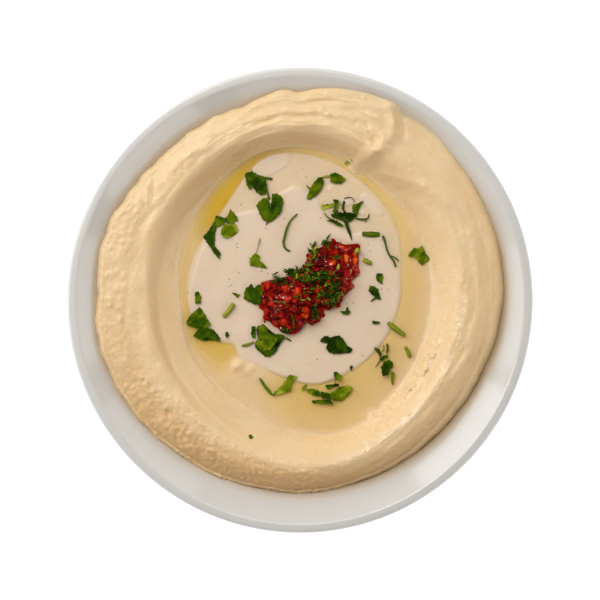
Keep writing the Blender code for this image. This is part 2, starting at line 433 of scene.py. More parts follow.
# where the film of oil over the tahini begins, and how deep the oil is at the tahini's edge
bareEdgeStops = spread([(-178, 47.3), (-164, 45.8), (-151, 40.6), (-142, 35.2), (-131, 38.0),
                        (-119, 36.5), (-100, 37.4), (-79, 40.8), (-62, 40.8), (-39, 41.8), (-20, 42.8),
                        (-5, 43.8), (5, 43.6), (14, 42.8), (26, 42.1), (36, 42.4), (47, 34.0), (59, 31.5),
                        (71, 34.0), (78, 39.0), (85, 42.0), (92, 45.2), (98, 43.8), (108, 41.0),
                        (117, 39.6), (127, 42.2), (142, 44.5), (157, 45.4), (172, 46.2)])
oilDepthStops = [(-180, 0.9), (-160, 1.5), (-148, 1.9), (-139, 1.7), (-128, 0.3), (-112, 0.4),
                 (-100, 1.0), (-75, 1.3), (-45, 0.9), (-10, 0.8), (20, 0.7), (45, 1.0), (70, 1.6),
                 (95, 1.4), (118, 2.6), (132, 3.0), (144, 2.0), (153, 0.9), (166, 0.7)]


# the bowl

bowl = {
    "columns": 288,
    "floorRadius": 50.0, "floorHeight": 8.0, "wallPower": 1.3, "wallEnd": 95.7, "wallDrop": 0.6, "wall": 4.2,
    "lipStart": 95.2, "lipRun": 1.9, "lipPower": 2.2, "lipRounding": 1.5,
    "footOuter": 50.0, "footInner": 45.5, "footRounding": 0.5,
    "glaze": (0.760, 0.735, 0.700), "smear": (0.56, 0.43, 0.27), "speck": (0.42, 0.38, 0.33),
    "bare": (0.66, 0.61, 0.54),
}


def wallHeight(radius):     # the bowl's inner wall: floor + rise * ((r - floorRadius) / run) ^ wallPower
    rise = dish["rimHeight"] - bowl["wallDrop"] - bowl["floorHeight"]
    along = np.clip((radius - bowl["floorRadius"]) / (bowl["wallEnd"] - bowl["floorRadius"]), 0.0, None)
    return bowl["floorHeight"] + rise * along ** bowl["wallPower"]


def bowlProfile():
    # (radius, height) from the middle of the floor, up the wall, over the lip as 1 - (1 - u)^lipPower, round
    # its outer edge as an arc, down the outside, a wall's thickness from the inside, and over the foot ring
    top, rounding, lipStart = dish["rimHeight"], bowl["lipRounding"], bowl["lipStart"]
    inside = [np.linspace(6, 48, 8), np.linspace(50, 78, 12), np.linspace(79, lipStart - 0.1, 32)]
    inside = np.concatenate(inside)     # closer together where the wall is steep
    innerWall = np.column_stack([inside, wallHeight(inside)])
    low = float(wallHeight(lipStart))
    part = np.linspace(0.0, 1.0, 8)[1:]
    lipIn = np.column_stack([lipStart + bowl["lipRun"] * part,
                             low + (top - low) * (1 - (1 - part) ** bowl["lipPower"])])
    lipTop = np.array([[98.0, top], [98.45, top - 0.02]])
    angle = np.radians(np.linspace(80, -35, 10))
    lipOut = np.column_stack([dish["rimRadius"] - rounding + rounding * np.cos(angle),
                              top - rounding + rounding * np.sin(angle)])
    down = np.linspace(95.0, bowl["floorRadius"] + 2.0, 26)
    slope = (wallHeight(down + 0.5) - wallHeight(down - 0.5))
    length = np.sqrt(1 + slope ** 2)
    outer = np.column_stack([down + bowl["wall"] * slope / length, wallHeight(down) - bowl["wall"] / length])
    outer = outer[outer[:, 1] < lipOut[-1, 1] - 0.3]
    under = bowl["floorHeight"] - bowl["wall"]
    outerSide, innerSide, corner = bowl["footOuter"], bowl["footInner"], bowl["footRounding"]
    foot = np.array([
        [outerSide + 1.2, under + 0.15], [outerSide + 0.35, under - 0.5], [outerSide, under - 1.2],
        [outerSide - 0.1, corner], [outerSide - 0.35, 0.12], [outerSide - 0.8, 0.0], [innerSide + 0.8, 0.0],
        [innerSide + 0.35, 0.12], [innerSide, corner], [innerSide - 0.3, under - 0.7],
        [innerSide - 1.0, under - 0.1], [innerSide - 2.2, under], [25.0, under], [8.0, under]])
    return np.concatenate([innerWall, lipIn, lipTop, lipOut, outer, foot]), under


def makeBowl():
    # the profile turned round the axis
    profile, under = bowlProfile()
    turn = np.linspace(0, 2 * np.pi, bowl["columns"], endpoint=False)
    radius = profile[:, :1]
    x, y, z = radius * np.cos(turn), radius * np.sin(turn), profile[:, 1:] + 0 * turn
    # a thin film of hummus on the glaze beside it and painted shade round its edge: 0.5 exp(-distance / 1.5
    # mm), with a long thin tail of painted warm shade at the left, and a broad bell of 3.4 mm at the lower
    # right that is the hummus's painted shadow
    away, around = polarOf(x, y)
    beyond = np.clip(away - roundCurve(around, hummusEdgeStops), 0, None)
    inner = z > wallHeight(np.hypot(x, y)) - 0.5
    smear = 0.50 * np.exp(-beyond / 1.5) + 0.17 * np.exp(-beyond / 6.0) * bell(wrap(around - 160), 50)
    smear = smear + 0.85 * np.exp(-(beyond / 3.4) ** 2) * bell(wrap(around + 30), 38)
    smear = np.clip(smear, 0, 1) * inner
    poles = [[0, 0, bowl["floorHeight"]], [0, 0, under]]
    piece = makeShell("glazed_bowl", (x, y, z), poles, "white_glaze", {"smear": (smear, [0, 0])})
    piece.data.materials.append(glazeFinish())
    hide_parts("bowl")


def glazeFinish():
    finish = Finish("white_glaze", {"IOR": 1.5, "Coat Weight": 0.3, "Coat Roughness": 0.04})
    cloud = finish.noise(18.0, 3.0)
    fine = finish.noise(260.0, 2.0)
    base = finish.blend(finish.mask(cloud, 0.35, 0.70), bowl["glaze"], scaled(bowl["glaze"], (0.985,) * 3))
    speck = finish.mask(finish.noise(900.0, 1.0), 0.74, 0.80)
    base = finish.blend(speck * 0.25, base, bowl["speck"])
    # the hummus's film on the glaze, with its painted shade and painted shadow
    base = finish.blend(finish.attribute("smear"), base, bowl["smear"])
    height = finish.add("SeparateXYZ", {}, {0: finish.place()}, "Z")
    bare = 1 - finish.mask(height, 0.0002, 0.0007)      # the unglazed bottom of the foot ring
    finish.set("Base Color", finish.blend(bare, base, bowl["bare"]))
    finish.set("Roughness", 0.10 + 0.06 * cloud + 0.5 * bare)
    finish.set("Normal", finish.bump(cloud * 0.7 + fine * 0.15, 0.12, 0.25))
    return finish.material


# the hummus

hummus = {
    "columns": 1000, "wellRows": 16, "bankRows": 66, "beadRows": 10,
    "crest": 35.0, "wellPower": 2.2, "wellFall": 0.10,
    "beadPowers": (2.6, 1.25), "clearance": 0.25, "undersideRows": (0.96, 0.90, 0.80, 0.66, 0.45),
    "narrowestLump": 0.42, "pitShare": 0.28, "pitDepth": 0.7, "lowLump": 0.3,
    "roundMarkEnds": 7.0, "crossMarkEnds": 2.5,     # the degrees, and the millimetres, they fade over
    "ragged": (0.12, 0.22), "raggedSeed": 3, "lumpSeed": 18,
    # relief: lengths in grid steps and seed of each kind, and heights of lumps, pits and grit
    "grains": {"swells": ((7.0, 22.0), 10), "drag": ((1.9, 34.0), 11), "lumps": ((3.0, 3.0), 13),
               "pits": ((2.4, 2.6), 16), "grit": ((1.25, 1.3), 14), "patchy": ((9.0, 16.0), 17)},
    "swellHeight": 0.20, "dragHeight": 0.075, "gritEverywhere": 0.012,
    "topHeights": (0.07, 0.10, 0.030), "beadHeights": (0.16, 0.14, 0.05),
    # from and to, and how soft both ends are
    "tongue": {"rise": 0.30, "turns": (-136.5, -104.0, 2.0, 16.0), "radii": (34.0, 50.0, 3.0, 6.0)},
    "colour": (0.925, 0.685, 0.400), "paintedShadeTint": (0.84, 0.72, 0.57), "pale": (0.95, 0.76, 0.48),
    "grit": (0.62, 0.38, 0.17),
}
# where the bank is steepest, how wide that stretch is, how much of the climb is an even slope, and the crest
steepAt = [(-180, 63.4), (-160, 64.0), (-140, 64.8), (-110, 67.0), (-60, 66.5), (0, 65.0), (40, 65.0),
           (62, 64.0), (80, 66.0), (110, 65.5), (140, 63.5), (165, 63.6)]
steepWidth = [(-180, 2.6), (-160, 1.8), (-140, 2.2), (-110, 7.0), (-60, 7.0), (0, 7.0), (60, 6.0),
              (100, 5.4), (150, 5.4)]
evenShare = [(-180, 0.58), (-160, 0.66), (-140, 0.68), (-110, 0.45), (-60, 0.45), (0, 0.45), (60, 0.38),
             (100, 0.30), (140, 0.36)]
crestAt = [(-180, 74.0), (-140, 75.0), (-100, 75.0), (-50, 74.5), (0, 73.0), (50, 73.0), (70, 74.0),
           (110, 72.5), (150, 72.0)]
crestRise = [(-180, 0.0), (-140, 0.4), (-110, 0.8), (-80, 0.8), (-50, 0.5), (-25, 0.3), (0, 0.0),
             (40, -0.3), (57, -0.6), (66, 0.3), (90, 0.2), (130, 0.3)]
# how much the spoon dragged, and how lumpy the paste is left on its outer side, both by turn
dragShare = [(-180, 0.5), (-150, 0.9), (-120, 0.7), (-80, 0.5), (-45, 0.9), (-15, 1.1), (20, 0.4),
             (50, 0.5), (75, 0.9), (105, 0.9), (130, 0.3), (160, 0.3)]
lumpShare = [(-180, 0.8), (-150, 1.3), (-125, 2.0), (-95, 1.8), (-60, 1.0), (-20, 0.6), (30, 0.25),
             (60, 0.5), (100, 0.4), (130, 0.7), (155, 0.9)]
# how high the hummus stands over the bowl's wall at its outer edge, how soon its back falls, and how wide the
# rounded bead at its edge is, by turn
shoulderRise = [(-180, 3.4), (-140, 2.0), (-110, 1.4), (-75, 1.6), (-50, 3.2), (-30, 3.8), (0, 4.0),
                (40, 3.3), (120, 3.6)]
backPower = [(-180, 2.2), (-140, 2.1), (-110, 2.3), (-70, 2.4), (-45, 2.4), (0, 2.4), (90, 2.2)]
beadWidth = [(-180, 3.0), (-140, 2.0), (-110, 1.7), (-70, 2.0), (-40, 3.8), (-10, 4.4), (20, 4.2),
             (60, 3.6)]

# marks of the spoon, each with its width across and its height: round ones by (turn, radius) stops, cross
# ones by (radius, turn) stops
roundMarks = [
    {"stops": [(-179, 61.2), (-172, 62.0), (-159, 63.0), (-144, 64.0), (-134, 63.6)],
     "width": 0.70, "height": -1.30},
    {"stops": [(-175, 65.2), (-155, 68.0), (-140, 68.2), (-124, 69.5)], "width": 1.7, "height": 0.65},
    {"stops": [(-162, 54.0), (-148, 54.8), (-137, 55.4), (-125, 57.6), (-116, 61.2)],
     "width": 0.62, "height": 0.75},
    {"stops": [(-158, 57.6), (-140, 58.8), (-124, 60.6), (-106, 65.5)], "width": 1.1, "height": -0.45},
    {"stops": [(-142, 62.4), (-131, 63.4), (-121, 64.8), (-110, 67.2)], "width": 0.65, "height": 0.80},
    {"stops": [(64, 74.2), (76, 75.6), (90, 75.6), (104, 75.2), (116, 76.2)],
     "width": 1.1, "height": -0.42},
    {"stops": [(66, 71.4), (80, 72.6), (95, 72.4), (112, 72.4)], "width": 1.3, "height": 0.40},
    {"stops": [(72, 79.5), (86, 78.4), (100, 79.0)], "width": 1.6, "height": 0.30},
    {"stops": [(-62, 72.5), (-40, 71.0), (-18, 70.0), (0, 69.5)], "width": 1.3, "height": 0.26},
    {"stops": [(-60, 67.8), (-35, 66.4), (-10, 65.2), (12, 64.5)], "width": 0.9, "height": -0.22},
    {"stops": [(-66, 76.5), (-44, 75.5), (-20, 74.4), (-4, 74.6)], "width": 0.9, "height": -0.24},
    {"stops": [(-30, 78.0), (-12, 77.5), (8, 77.8)], "width": 1.4, "height": 0.35},
    {"stops": [(-20, 81.5), (0, 81.0), (20, 82.0)], "width": 1.5, "height": -0.30},
    {"stops": [(20, 76.5), (35, 73.4), (43, 68.8), (50, 64.9), (60, 60.2)], "width": 1.5, "height": 0.75},
    {"stops": [(14, 72.4), (30, 69.4), (41, 64.4), (50, 60.6)], "width": 1.6, "height": -0.45},
    {"stops": [(66, 84.5), (80, 82.0), (96, 80.5), (112, 80.5)], "width": 1.8, "height": -0.30},
    {"stops": [(146, 74.5), (162, 73.5), (178, 73.0)], "width": 2.4, "height": -0.35},
    {"stops": [(-178, 78.5), (-160, 77.0), (-140, 76.0)], "width": 2.0, "height": -0.30},
    {"stops": [(-100, 76.0), (-80, 76.5), (-58, 75.0)], "width": 2.0, "height": 0.35},
]
crossMarks = [
    {"stops": [(79.0, 55.2), (84.0, 57.2), (88.5, 60.2)], "width": 0.8, "height": -0.55},
    {"stops": [(78.0, 58.0), (83.0, 60.2), (88.0, 63.4)], "width": 0.8, "height": 0.45},
    {"stops": [(71.0, 62.0), (76.0, 66.5), (82.0, 70.0)], "width": 1.1, "height": -0.40},
    {"stops": [(68.0, 66.0), (73.0, 72.0), (78.0, 79.0)], "width": 1.3, "height": 0.40},
    {"stops": [(72.5, 149.5), (77.0, 144.5), (82.5, 139.0)], "width": 1.0, "height": -0.40},
    {"stops": [(73.5, 152.0), (78.0, 147.0), (82.0, 142.0)], "width": 0.9, "height": 0.40},
    {"stops": [(76.0, 92.0), (80.0, 97.0), (84.0, 101.0)], "width": 1.6, "height": -0.30},
]
# the step where the sweep ends, by (radius, turn) stops
fold = {"stops": [(56.0, 65.8), (60.0, 64.4), (64.0, 62.6), (70.0, 59.4), (75.0, 58.0), (80.0, 58.4),
                  (86.0, 61.0), (91.0, 65.0)],
        "height": 1.3, "width": 2.2, "reach": 26.0, "lip": 0.85, "valley": 0.20}
# lumps by themselves: (x, y), width, height
knobs = [((-63.2, -4.6), 1.25, 1.1), ((-27.6, -27.9), 1.5, 1.6), ((-26.2, -28.9), 1.3, 0.9),
         ((-28.6, -29.6), 1.2, 0.6), ((-24.2, -30.6), 1.7, 0.7), ((-22.4, -30.9), 1.0, 0.3),
         ((-20.6, -32.6), 1.9, 0.35), ((-62.0, 0.8), 1.6, 0.3), ((26.4, 58.0), 2.6, 1.4),
         ((30.4, 60.4), 2.4, 1.1), ((33.4, 64.0), 2.2, 0.8), ((35.9, 70.8), 1.8, 0.6),
         ((24.0, 55.6), 2.0, 0.8)]
# patches of small lumps and pits: turns from and to, radii from and to, how many, half width, height
lumpPatches = [(-178, -150, 77, 88, 170, 0.70, 0.18), (-152, -118, 75, 88, 700, 0.44, 0.23),
               (-120, -84, 77, 88, 700, 0.42, 0.23), (-86, -40, 79, 86, 300, 0.5, 0.18),
               (-152, -118, 76, 84, 70, 0.95, 0.28), (150, 182, 75, 88, 140, 0.8, 0.22),
               (118, 152, 72, 84, 90, 0.9, 0.20), (-170, -120, 66, 76, 110, 0.7, 0.12),
               (-62, -20, 61.5, 65.0, 240, 0.38, 0.36), (-66, 8, 63, 74, 340, 0.50, 0.15),
               (-40, 20, 74, 86, 120, 0.7, 0.14), (58, 66, 64, 78, 60, 0.60, 0.20),
               (62, 84, 76, 89, 60, 0.7, 0.16), (66, 140, 72, 80, 140, 0.8, 0.18),
               (30, 56, 60, 76, 60, 0.8, 0.14), (-131, -112, 38, 43, 90, 0.45, 0.14)]


def addMarks(height, radius, turn):
    # round marks: height * bell(radius - line(turn)); cross marks: the same across the line turn(radius);
    # both fade out at their ends
    for mark in roundMarks:
        line = openCurve(turn, mark["stops"])
        ends = softEnds(turn, mark["stops"][0][0], mark["stops"][-1][0], hummus["roundMarkEnds"])
        height = height + mark["height"] * ends * bell(radius - line, mark["width"])
    for mark in crossMarks:
        line = openCurve(radius, mark["stops"])
        away = np.radians(wrap(turn - line)) * radius
        ends = softEnds(radius, mark["stops"][0][0], mark["stops"][-1][0], hummus["crossMarkEnds"])
        height = height + mark["height"] * ends * bell(away, mark["width"])
    return height


def foldHeight(radius, turn):
    # where the sweep ends the hummus steps up, anticlockwise of the fold's line, which wavers a little, and
    # sinks back as exp(-away / reach); a low lip runs along the top of the step, a shallow valley at its foot
    away = np.radians(wrap(turn - openCurve(radius, fold["stops"]))) * radius
    away = away + 0.35 * np.sin(radius * 0.9) + 0.12 * np.sin(radius * 1.9 + 1.0)
    step = smooth(away / (2 * fold["width"]) + 0.5) * np.exp(-np.clip(away, 0, None) / fold["reach"])
    ends = softEnds(radius, fold["stops"][0][0] - 1.0, fold["stops"][-1][0] + 2.0, 6.0)
    lip = fold["lip"] * bell(away - fold["width"], fold["width"] * 0.8)
    valley = fold["valley"] * bell(away + 1.3 * fold["width"], fold["width"])
    return ends * (fold["height"] * step + lip - valley)


def hummusHeight(radius, turn):
    # the well under the oil, then a bank that is partly an even slope and partly a steep stretch, then the
    # crest, and a back that falls away as a power of the way out
    level = dish["oilLevel"]
    oilEdge = roundCurve(turn, oilEdgeStops)
    inner = roundCurve(turn, tahiniEdgeStops)
    edge = roundCurve(turn, hummusEdgeStops)
    crestLine = roundCurve(turn, crestAt)
    top = hummus["crest"] + roundCurve(turn, crestRise)

    depth = roundCurve(turn, oilDepthStops)
    out = np.clip((radius - inner) / (oilEdge - inner), 0, 1)
    well = level - depth * (1 - out ** hummus["wellPower"])
    well = well - hummus["wellFall"] * np.clip(inner - radius, 0, 20)

    climb = np.clip((radius - oilEdge) / (crestLine - oilEdge), 0, 1)
    width = roundCurve(turn, steepWidth)
    steep = smooth((radius - roundCurve(turn, steepAt) + width) / (2 * width))
    share = roundCurve(turn, evenShare)
    bank = share * climb * (2 - climb) + (1 - share) * steep
    bankHeight = level + (top - level) * np.clip(bank, 0, 1)

    edgeInside = edge - roundCurve(turn, beadWidth)
    fall = np.clip((radius - crestLine) / (edgeInside - crestLine), 0, 1)
    shoulder = np.minimum(wallHeight(fromAxis(edge, turn)) + roundCurve(turn, shoulderRise), top - 0.5)
    back = top - (top - shoulder) * fall ** roundCurve(turn, backPower)
    height = np.where(radius < oilEdge, well, np.where(radius < crestLine, bankHeight, back))

    height = height + foldHeight(radius, turn)
    height = addMarks(height, radius, turn)
    # the tongue of hummus that comes up through the oil at the near left
    tongue = hummus["tongue"]
    height = height + tongue["rise"] * softEnds(turn, *tongue["turns"]) * softEnds(radius, *tongue["radii"])
    x, y = placeAt(radius, turn)
    for (knobX, knobY), width, rise in knobs:
        height = height + rise * bell(np.hypot(x - knobX, y - knobY), width)
    return height


def scatterLumps(height, radius, turn, seed):
    # rise * exp(-(along^2 / long^2 + across^2 / wide^2) / 2) for every lump; about one in four of the low
    # ones is a pit instead, and all of them fade out at the last row
    rng = np.random.default_rng(seed)
    plain = height
    height = height.copy()
    for first, last, near, far, count, width, rise in lumpPatches:
        for _ in range(count):
            spot = rng.uniform(first, last), rng.uniform(near, far)
            wide = max(width * rng.uniform(0.6, 1.25), hummus["narrowestLump"])     # what the mesh can show
            long = wide * rng.uniform(1.0, 1.8)
            lean = rng.normal(0, 0.5)
            stands = rng.uniform() > hummus["pitShare"] or rise > hummus["lowLump"]
            lift = rise * rng.uniform(0.35, 1.4) if stands else -hummus["pitDepth"] * rise
            reach = np.degrees(3.2 * long / spot[1])
            part = np.nonzero(np.abs(wrap(turn[0] - spot[0])) < reach)[0]
            way = np.radians(wrap(turn[:, part] - spot[0])) * spot[1]
            along, across = turned(way, radius[:, part] - spot[1], lean)
            height[:, part] += lift * bell(along / long, 1) * bell(across / wide, 1)
    fade = smooth((radius[-1:] - radius) / 1.5)
    return fade * height + (1 - fade) * plain


def hummusRelief(rows, turn, out):
    # over the swept shape: broad swells, drag marks along the sweep, lumps that only stand up, pits and grit;
    # returns the top's relief, the bead's, and how rough each place is
    kinds = hummus["grains"]
    topShape = rows, hummus["columns"]
    fullShape = rows + hummus["beadRows"], hummus["columns"]
    swells, drag = [grain(topShape, *kinds[key]) for key in ("swells", "drag")]
    lumps, pits, grit, patchy = [grain(fullShape, *kinds[key]) for key in ("lumps", "pits", "grit", "patchy")]
    lumps = np.clip(lumps - 0.2, 0, None) ** 1.1 * (0.35 + 0.65 * smooth(0.5 + 0.45 * patchy))
    pits = np.clip(pits - 1.0, 0, None)
    outer = smooth((out - 0.30) / 0.35)
    dragged = roundCurve(turn, dragShare) * (1 - 0.5 * outer)
    rough = roundCurve(turn, lumpShare) * (0.22 + 0.78 * outer)

    def coarse(part, heights):
        return heights[0] * lumps[part] - heights[1] * pits[part] + heights[2] * grit[part]
    relief = hummus["swellHeight"] * swells + hummus["dragHeight"] * dragged * drag
    relief = relief + rough * coarse(slice(0, rows), hummus["topHeights"])
    relief = relief + hummus["gritEverywhere"] * grit[:rows]
    beadRelief = coarse(slice(rows, None), hummus["beadHeights"])
    return relief * smooth(out * 6), beadRelief * rough[-1:], rough


def makeHummus():
    # rows from inside the well over the bank and the back, round the bead, and back under it down the wall
    turn = allRound(hummus["columns"])
    oilEdge = roundCurve(turn, oilEdgeStops)
    least, more = hummus["ragged"]      # a ragged edge, more so at the left
    ragged = (least + more * bell(wrap(turn - 170), 60)) * grain(turn.shape, (1, 12), hummus["raggedSeed"])
    edge = roundCurve(turn, hummusEdgeStops) + ragged
    bead = roundCurve(turn, beadWidth)
    inside = edge - bead

    wellPart = np.linspace(0.50, 1.0, hummus["wellRows"], endpoint=False)[:, None] ** 0.7
    bankPart = np.linspace(0.0, 1.0, hummus["bankRows"])[:, None]
    top = np.concatenate([wellPart * oilEdge, oilEdge + bankPart * (inside - oilEdge)])
    out = np.clip((top - oilEdge) / (inside - oilEdge), 0, 1)
    relief, beadRelief, rough = hummusRelief(len(top), turn, out)
    height = scatterLumps(hummusHeight(top, turn + 0 * top), top, turn, hummus["lumpSeed"]) + relief

    # the bead: from the shoulder down to the wall as (1 - u^first)^second of its height, u being the way
    # across it; lumps push it up at its top and outwards at its foot
    across = np.linspace(0, 1, hummus["beadRows"] + 1)[1:, None]
    angle = across * math.radians(60)
    first, second = hummus["beadPowers"]
    foot = wallHeight(fromAxis(edge, turn)) - 0.2
    beadRadius = inside + bead * across + beadRelief * np.sin(angle)
    beadHeight = foot + (height[-1:] - foot) * (1 - across ** first) ** second
    beadHeight = beadHeight + beadRelief * np.cos(angle) ** 0.7

    # the underside follows the bowl's wall back to the floor
    lower = np.array(hummus["undersideRows"])[:, None] * edge
    radius = np.concatenate([top, beadRadius, lower])
    height = np.concatenate([height, beadHeight, wallHeight(fromAxis(lower, turn)) + hummus["clearance"]])
    middle = hummusHeight(np.array([[1.0]]), np.array([[0.0]]))[0, 0] - 1.0
    poles = [[*dish["centre"], middle], [*dish["centre"], bowl["floorHeight"] + hummus["clearance"]]]
    rest = len(radius) - len(top)

    # wet: a line along the oil's edge, and most of the bank at the lower right, where it glistens
    shine = 0.95 * bell(wrap(turn + 35), 26) * smooth(out * 8) * (1 - smooth((out - 0.42) / 0.25))
    wet = np.maximum(1 - smooth((top - oilEdge - 1.5) / 3.5), shine)
    wet = wet * smooth((top - oilEdge + 0.8) / 0.8)
    # painted shade: darker and warmer where little light falls on it, low on the outside, and on the slope
    # inside the far bank
    warm = bell(wrap(turn + 100), 46) * smooth((out - 0.50) / 0.28)
    warm = np.maximum(warm, 0.4 * bell(wrap(turn + 30), 40) * smooth((out - 0.78) / 0.20))
    slope = 0.38 * bell(wrap(turn - 108), 40) * smooth(out * 20) * (1 - smooth((top - 67.0) / 5.0))
    warm = np.maximum(warm, slope)
    grids = {"wet": (wet, 0.0, [1, 0]), "warm": (warm, 0.35, [0, 0]), "crumbly": (rough / 2, 0.6, [0, 0])}
    attributes = {}
    for key, (field, share, ends) in grids.items():     # past the top, a share of the last row's values
        attributes[key] = np.concatenate([field, np.tile(share * field[-1:], (rest, 1))]), ends
    x, y = placeAt(radius, turn)
    piece = makeShell("hummus_sweep", (x, y, height), poles, "hummus", attributes)
    piece.data.materials.append(hummusFinish())
    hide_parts("hummus")


def hummusFinish():
    finish = Finish("hummus", {"IOR": 1.45, "Subsurface Weight": 0.30, "Subsurface Radius": (1.0, 0.55, 0.25),
                               "Subsurface Scale": 0.0014, "Coat Roughness": 0.10, "Coat IOR": 1.5})
    broad = finish.noise(45.0, 3.0)
    fine = finish.noise(520.0, 3.0, 0.6)
    grit = finish.noise(1300.0, 2.0, 0.6)
    wet = finish.attribute("wet")
    crumbly = finish.attribute("crumbly")
    base = finish.blend(finish.mask(broad, 0.30, 0.72), hummus["colour"],
                        scaled(hummus["colour"], (0.98, 0.955, 0.90)))
    base = finish.blend(finish.mask(fine, 0.52, 0.80) * 0.35, base, hummus["pale"])
    base = finish.blend(finish.mask(grit, 0.60, 0.76) * (0.20 + 0.55 * crumbly), base, hummus["grit"])
    # painted shade: the base darkened and made warmer where little light falls
    paintedShadeBase = finish.blend(1.0, base, hummus["paintedShadeTint"], "MULTIPLY")
    finish.set("Base Color", finish.blend(finish.attribute("warm"), base, paintedShadeBase))
    glossy = finish.mask(finish.noise(210.0, 2.0), 0.50, 0.66)
    finish.set("Roughness", 0.47 - 0.10 * fine - 0.14 * glossy - 0.20 * wet + 0.12 * crumbly)
    glint = finish.mask(finish.noise(640.0, 2.0), 0.46, 0.58)
    finish.set("Coat Weight", wet * glint)
    first = finish.bump(fine, 0.35, 0.35 + 0.4 * wet + 0.5 * crumbly)
    finish.set("Normal", finish.bump(grit, 0.16, 0.35, first))
    return finish.material


# the tahini

tahini = {
    "columns": 520, "innerRows": 14, "outerRows": 70, "underRows": (0.98, 0.80, 0.45),
    "rise": 0.13, "film": 0.24, "edgeWidth": 2.6, "rim": 2.0, "patchPower": 2.6, "patchEdge": 0.45,
    "drag": ((5.0, 22.0), 21), "dragHeight": 0.018,     # lengths in grid steps and seed
    "colour": (0.880, 0.705, 0.530), "stain": (0.55, 0.33, 0.19), "speck": (0.22, 0.15, 0.08),
    # places the oil has not run over: (x, y), half length, half width, lean in degrees
    "patches": [((-12.4, 58.6), 8.6, 4.3, 27.0), ((31.0, 40.9), 6.3, 2.3, -45.0),
                ((13.0, 47.8), 1.3, 1.2, 0.0), ((20.8, 42.2), 2.3, 1.6, 20.0),
                ((11.2, 38.4), 1.7, 1.2, 30.0), ((26.5, 37.5), 1.5, 1.0, -30.0)],
}


def patchCover(x, y):
    # 1 on a bare patch, 0 off it: each is a full ellipse |a|^power + |b|^power = 1 with a soft edge
    power = tahini["patchPower"]
    cover = 0.0 * x
    for centre, halfLength, halfWidth, lean in tahini["patches"]:
        dx = x - centre[0] * dish["spread"]
        dy = y - centre[1] * dish["spread"]
        along, across = turned(dx, dy, math.radians(lean))
        away = np.abs(along / halfLength) ** power + np.abs(across / halfWidth) ** power
        inside = 1 - away ** (1 / power)
        cover = np.maximum(cover, smooth(inside * halfWidth / tahini["patchEdge"] + 0.5))
    return cover


def tahiniHeight(radius, turn):
    # a little above the oil where it is bare, a little below it under the film, with shallow swells; at its
    # edge it dives to the hummus with the square of the way out over the rim
    bare = roundCurve(turn, bareEdgeStops)
    edge = roundCurve(turn, tahiniEdgeStops)
    x, y = placeAt(radius, turn)
    proud = smooth((bare - radius) / tahini["edgeWidth"] + 0.5)
    proud = np.maximum(proud, 0.75 * patchCover(x, y))
    height = dish["oilLevel"] + tahini["rise"] * proud - tahini["film"] * (1 - proud)
    drop = np.clip((radius - edge + tahini["rim"]) / tahini["rim"], 0, 1)
    swell = 0.10 * np.sin(x * 0.16 + 1.1) * np.sin(y * 0.13 - 0.4) + 0.05 * np.sin(x * 0.31 - y * 0.22)
    swell = swell * smooth((bare - radius) / 6.0)
    dive = np.maximum(roundCurve(turn, oilDepthStops) - tahini["film"] + 0.15, 0.3)
    return height + swell - dive * drop ** 2


def makeTahini():
    # its height over a grid of turns and shares of the way to its edge, with faint drag marks, and a plain
    # underside sunk in the hummus
    turn = allRound(tahini["columns"])
    edge = roundCurve(turn, tahiniEdgeStops)
    outerPart = 0.55 + 0.45 * np.linspace(0, 1, tahini["outerRows"]) ** 0.85
    part = np.concatenate([np.linspace(0.06, 0.55, tahini["innerRows"], endpoint=False), outerPart])[:, None]
    top = part * edge
    drag = tahini["dragHeight"] * grain(top.shape, *tahini["drag"])
    height = tahiniHeight(top, turn) + drag * smooth((edge - top) / 3.0)
    lower = np.array(tahini["underRows"])[:, None] * edge
    under = np.minimum(hummusHeight(lower, turn), dish["oilLevel"] - 2.2) - 0.6
    radius = np.concatenate([top, lower])
    height = np.concatenate([height, under])
    x, y = placeAt(radius, turn)
    poles = [[*dish["centre"], height[0].mean()], [*dish["centre"], height[-1].mean()]]
    # the paste's oil stains the tahini round it, 0.5 exp(-distance / 1 mm); where it reaches out to 3.6 mm at
    # the lower right it is the paste's painted shadow
    dx, dy = x - paste["centre"][0], y - paste["centre"][1]
    bearing = np.degrees(np.arctan2(dy, dx))
    beyond = np.clip(np.hypot(dx, dy) - pasteReach(bearing), 0, None)
    stain = 0.5 * np.exp(-beyond / (1.0 + 2.6 * bell(wrap(bearing + 35), 45)))
    piece = makeShell("tahini_pool", (x, y, height), poles, "tahini", {"stain": (stain, [0, 0])})
    piece.data.materials.append(tahiniFinish())
    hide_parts("tahini")


def tahiniFinish():
    finish = Finish("tahini", {"IOR": 1.45, "Subsurface Weight": 0.30, "Subsurface Radius": (1.0, 0.7, 0.45),
                               "Subsurface Scale": 0.0018})
    cloud = finish.noise(55.0, 3.0)
    fine = finish.noise(600.0)
    base = finish.blend(finish.mask(cloud, 0.35, 0.70), tahini["colour"],
                        scaled(tahini["colour"], (0.985, 0.965, 0.93)))
    # specks of sesame hull and pepper: small cells, of which only some are dark
    speck = (1 - finish.mask(finish.cells(430.0), 0.10, 0.20)) * finish.mask(finish.noise(120.0), 0.56, 0.62)
    base = finish.blend(speck * 0.75, base, tahini["speck"])
    # a stain of the paste's oil, and the paste's painted shadow at its lower right
    finish.set("Base Color", finish.blend(finish.attribute("stain"), base, tahini["stain"]))
    finish.set("Roughness", 0.30 + 0.12 * cloud)
    finish.set("Normal", finish.bump(fine * 0.4 + cloud, 0.10, 0.30))
    return finish.material


# the oil

oil = {
    "columns": 520, "innerRows": 10, "outerRows": 86, "climb": 0.22, "reach": 0.8, "below": 3.0,
    "swell": ((9.0, 14.0), 31), "swellHeight": 0.03,        # lengths in grid steps and seed
    "most": 0.78, "depthScale": 1.55, "side": (0.8, 2.0),       # cover and depth on the hidden underside
    "thin": (0.98, 0.76, 0.22), "deep": (0.88, 0.57, 0.012),
}


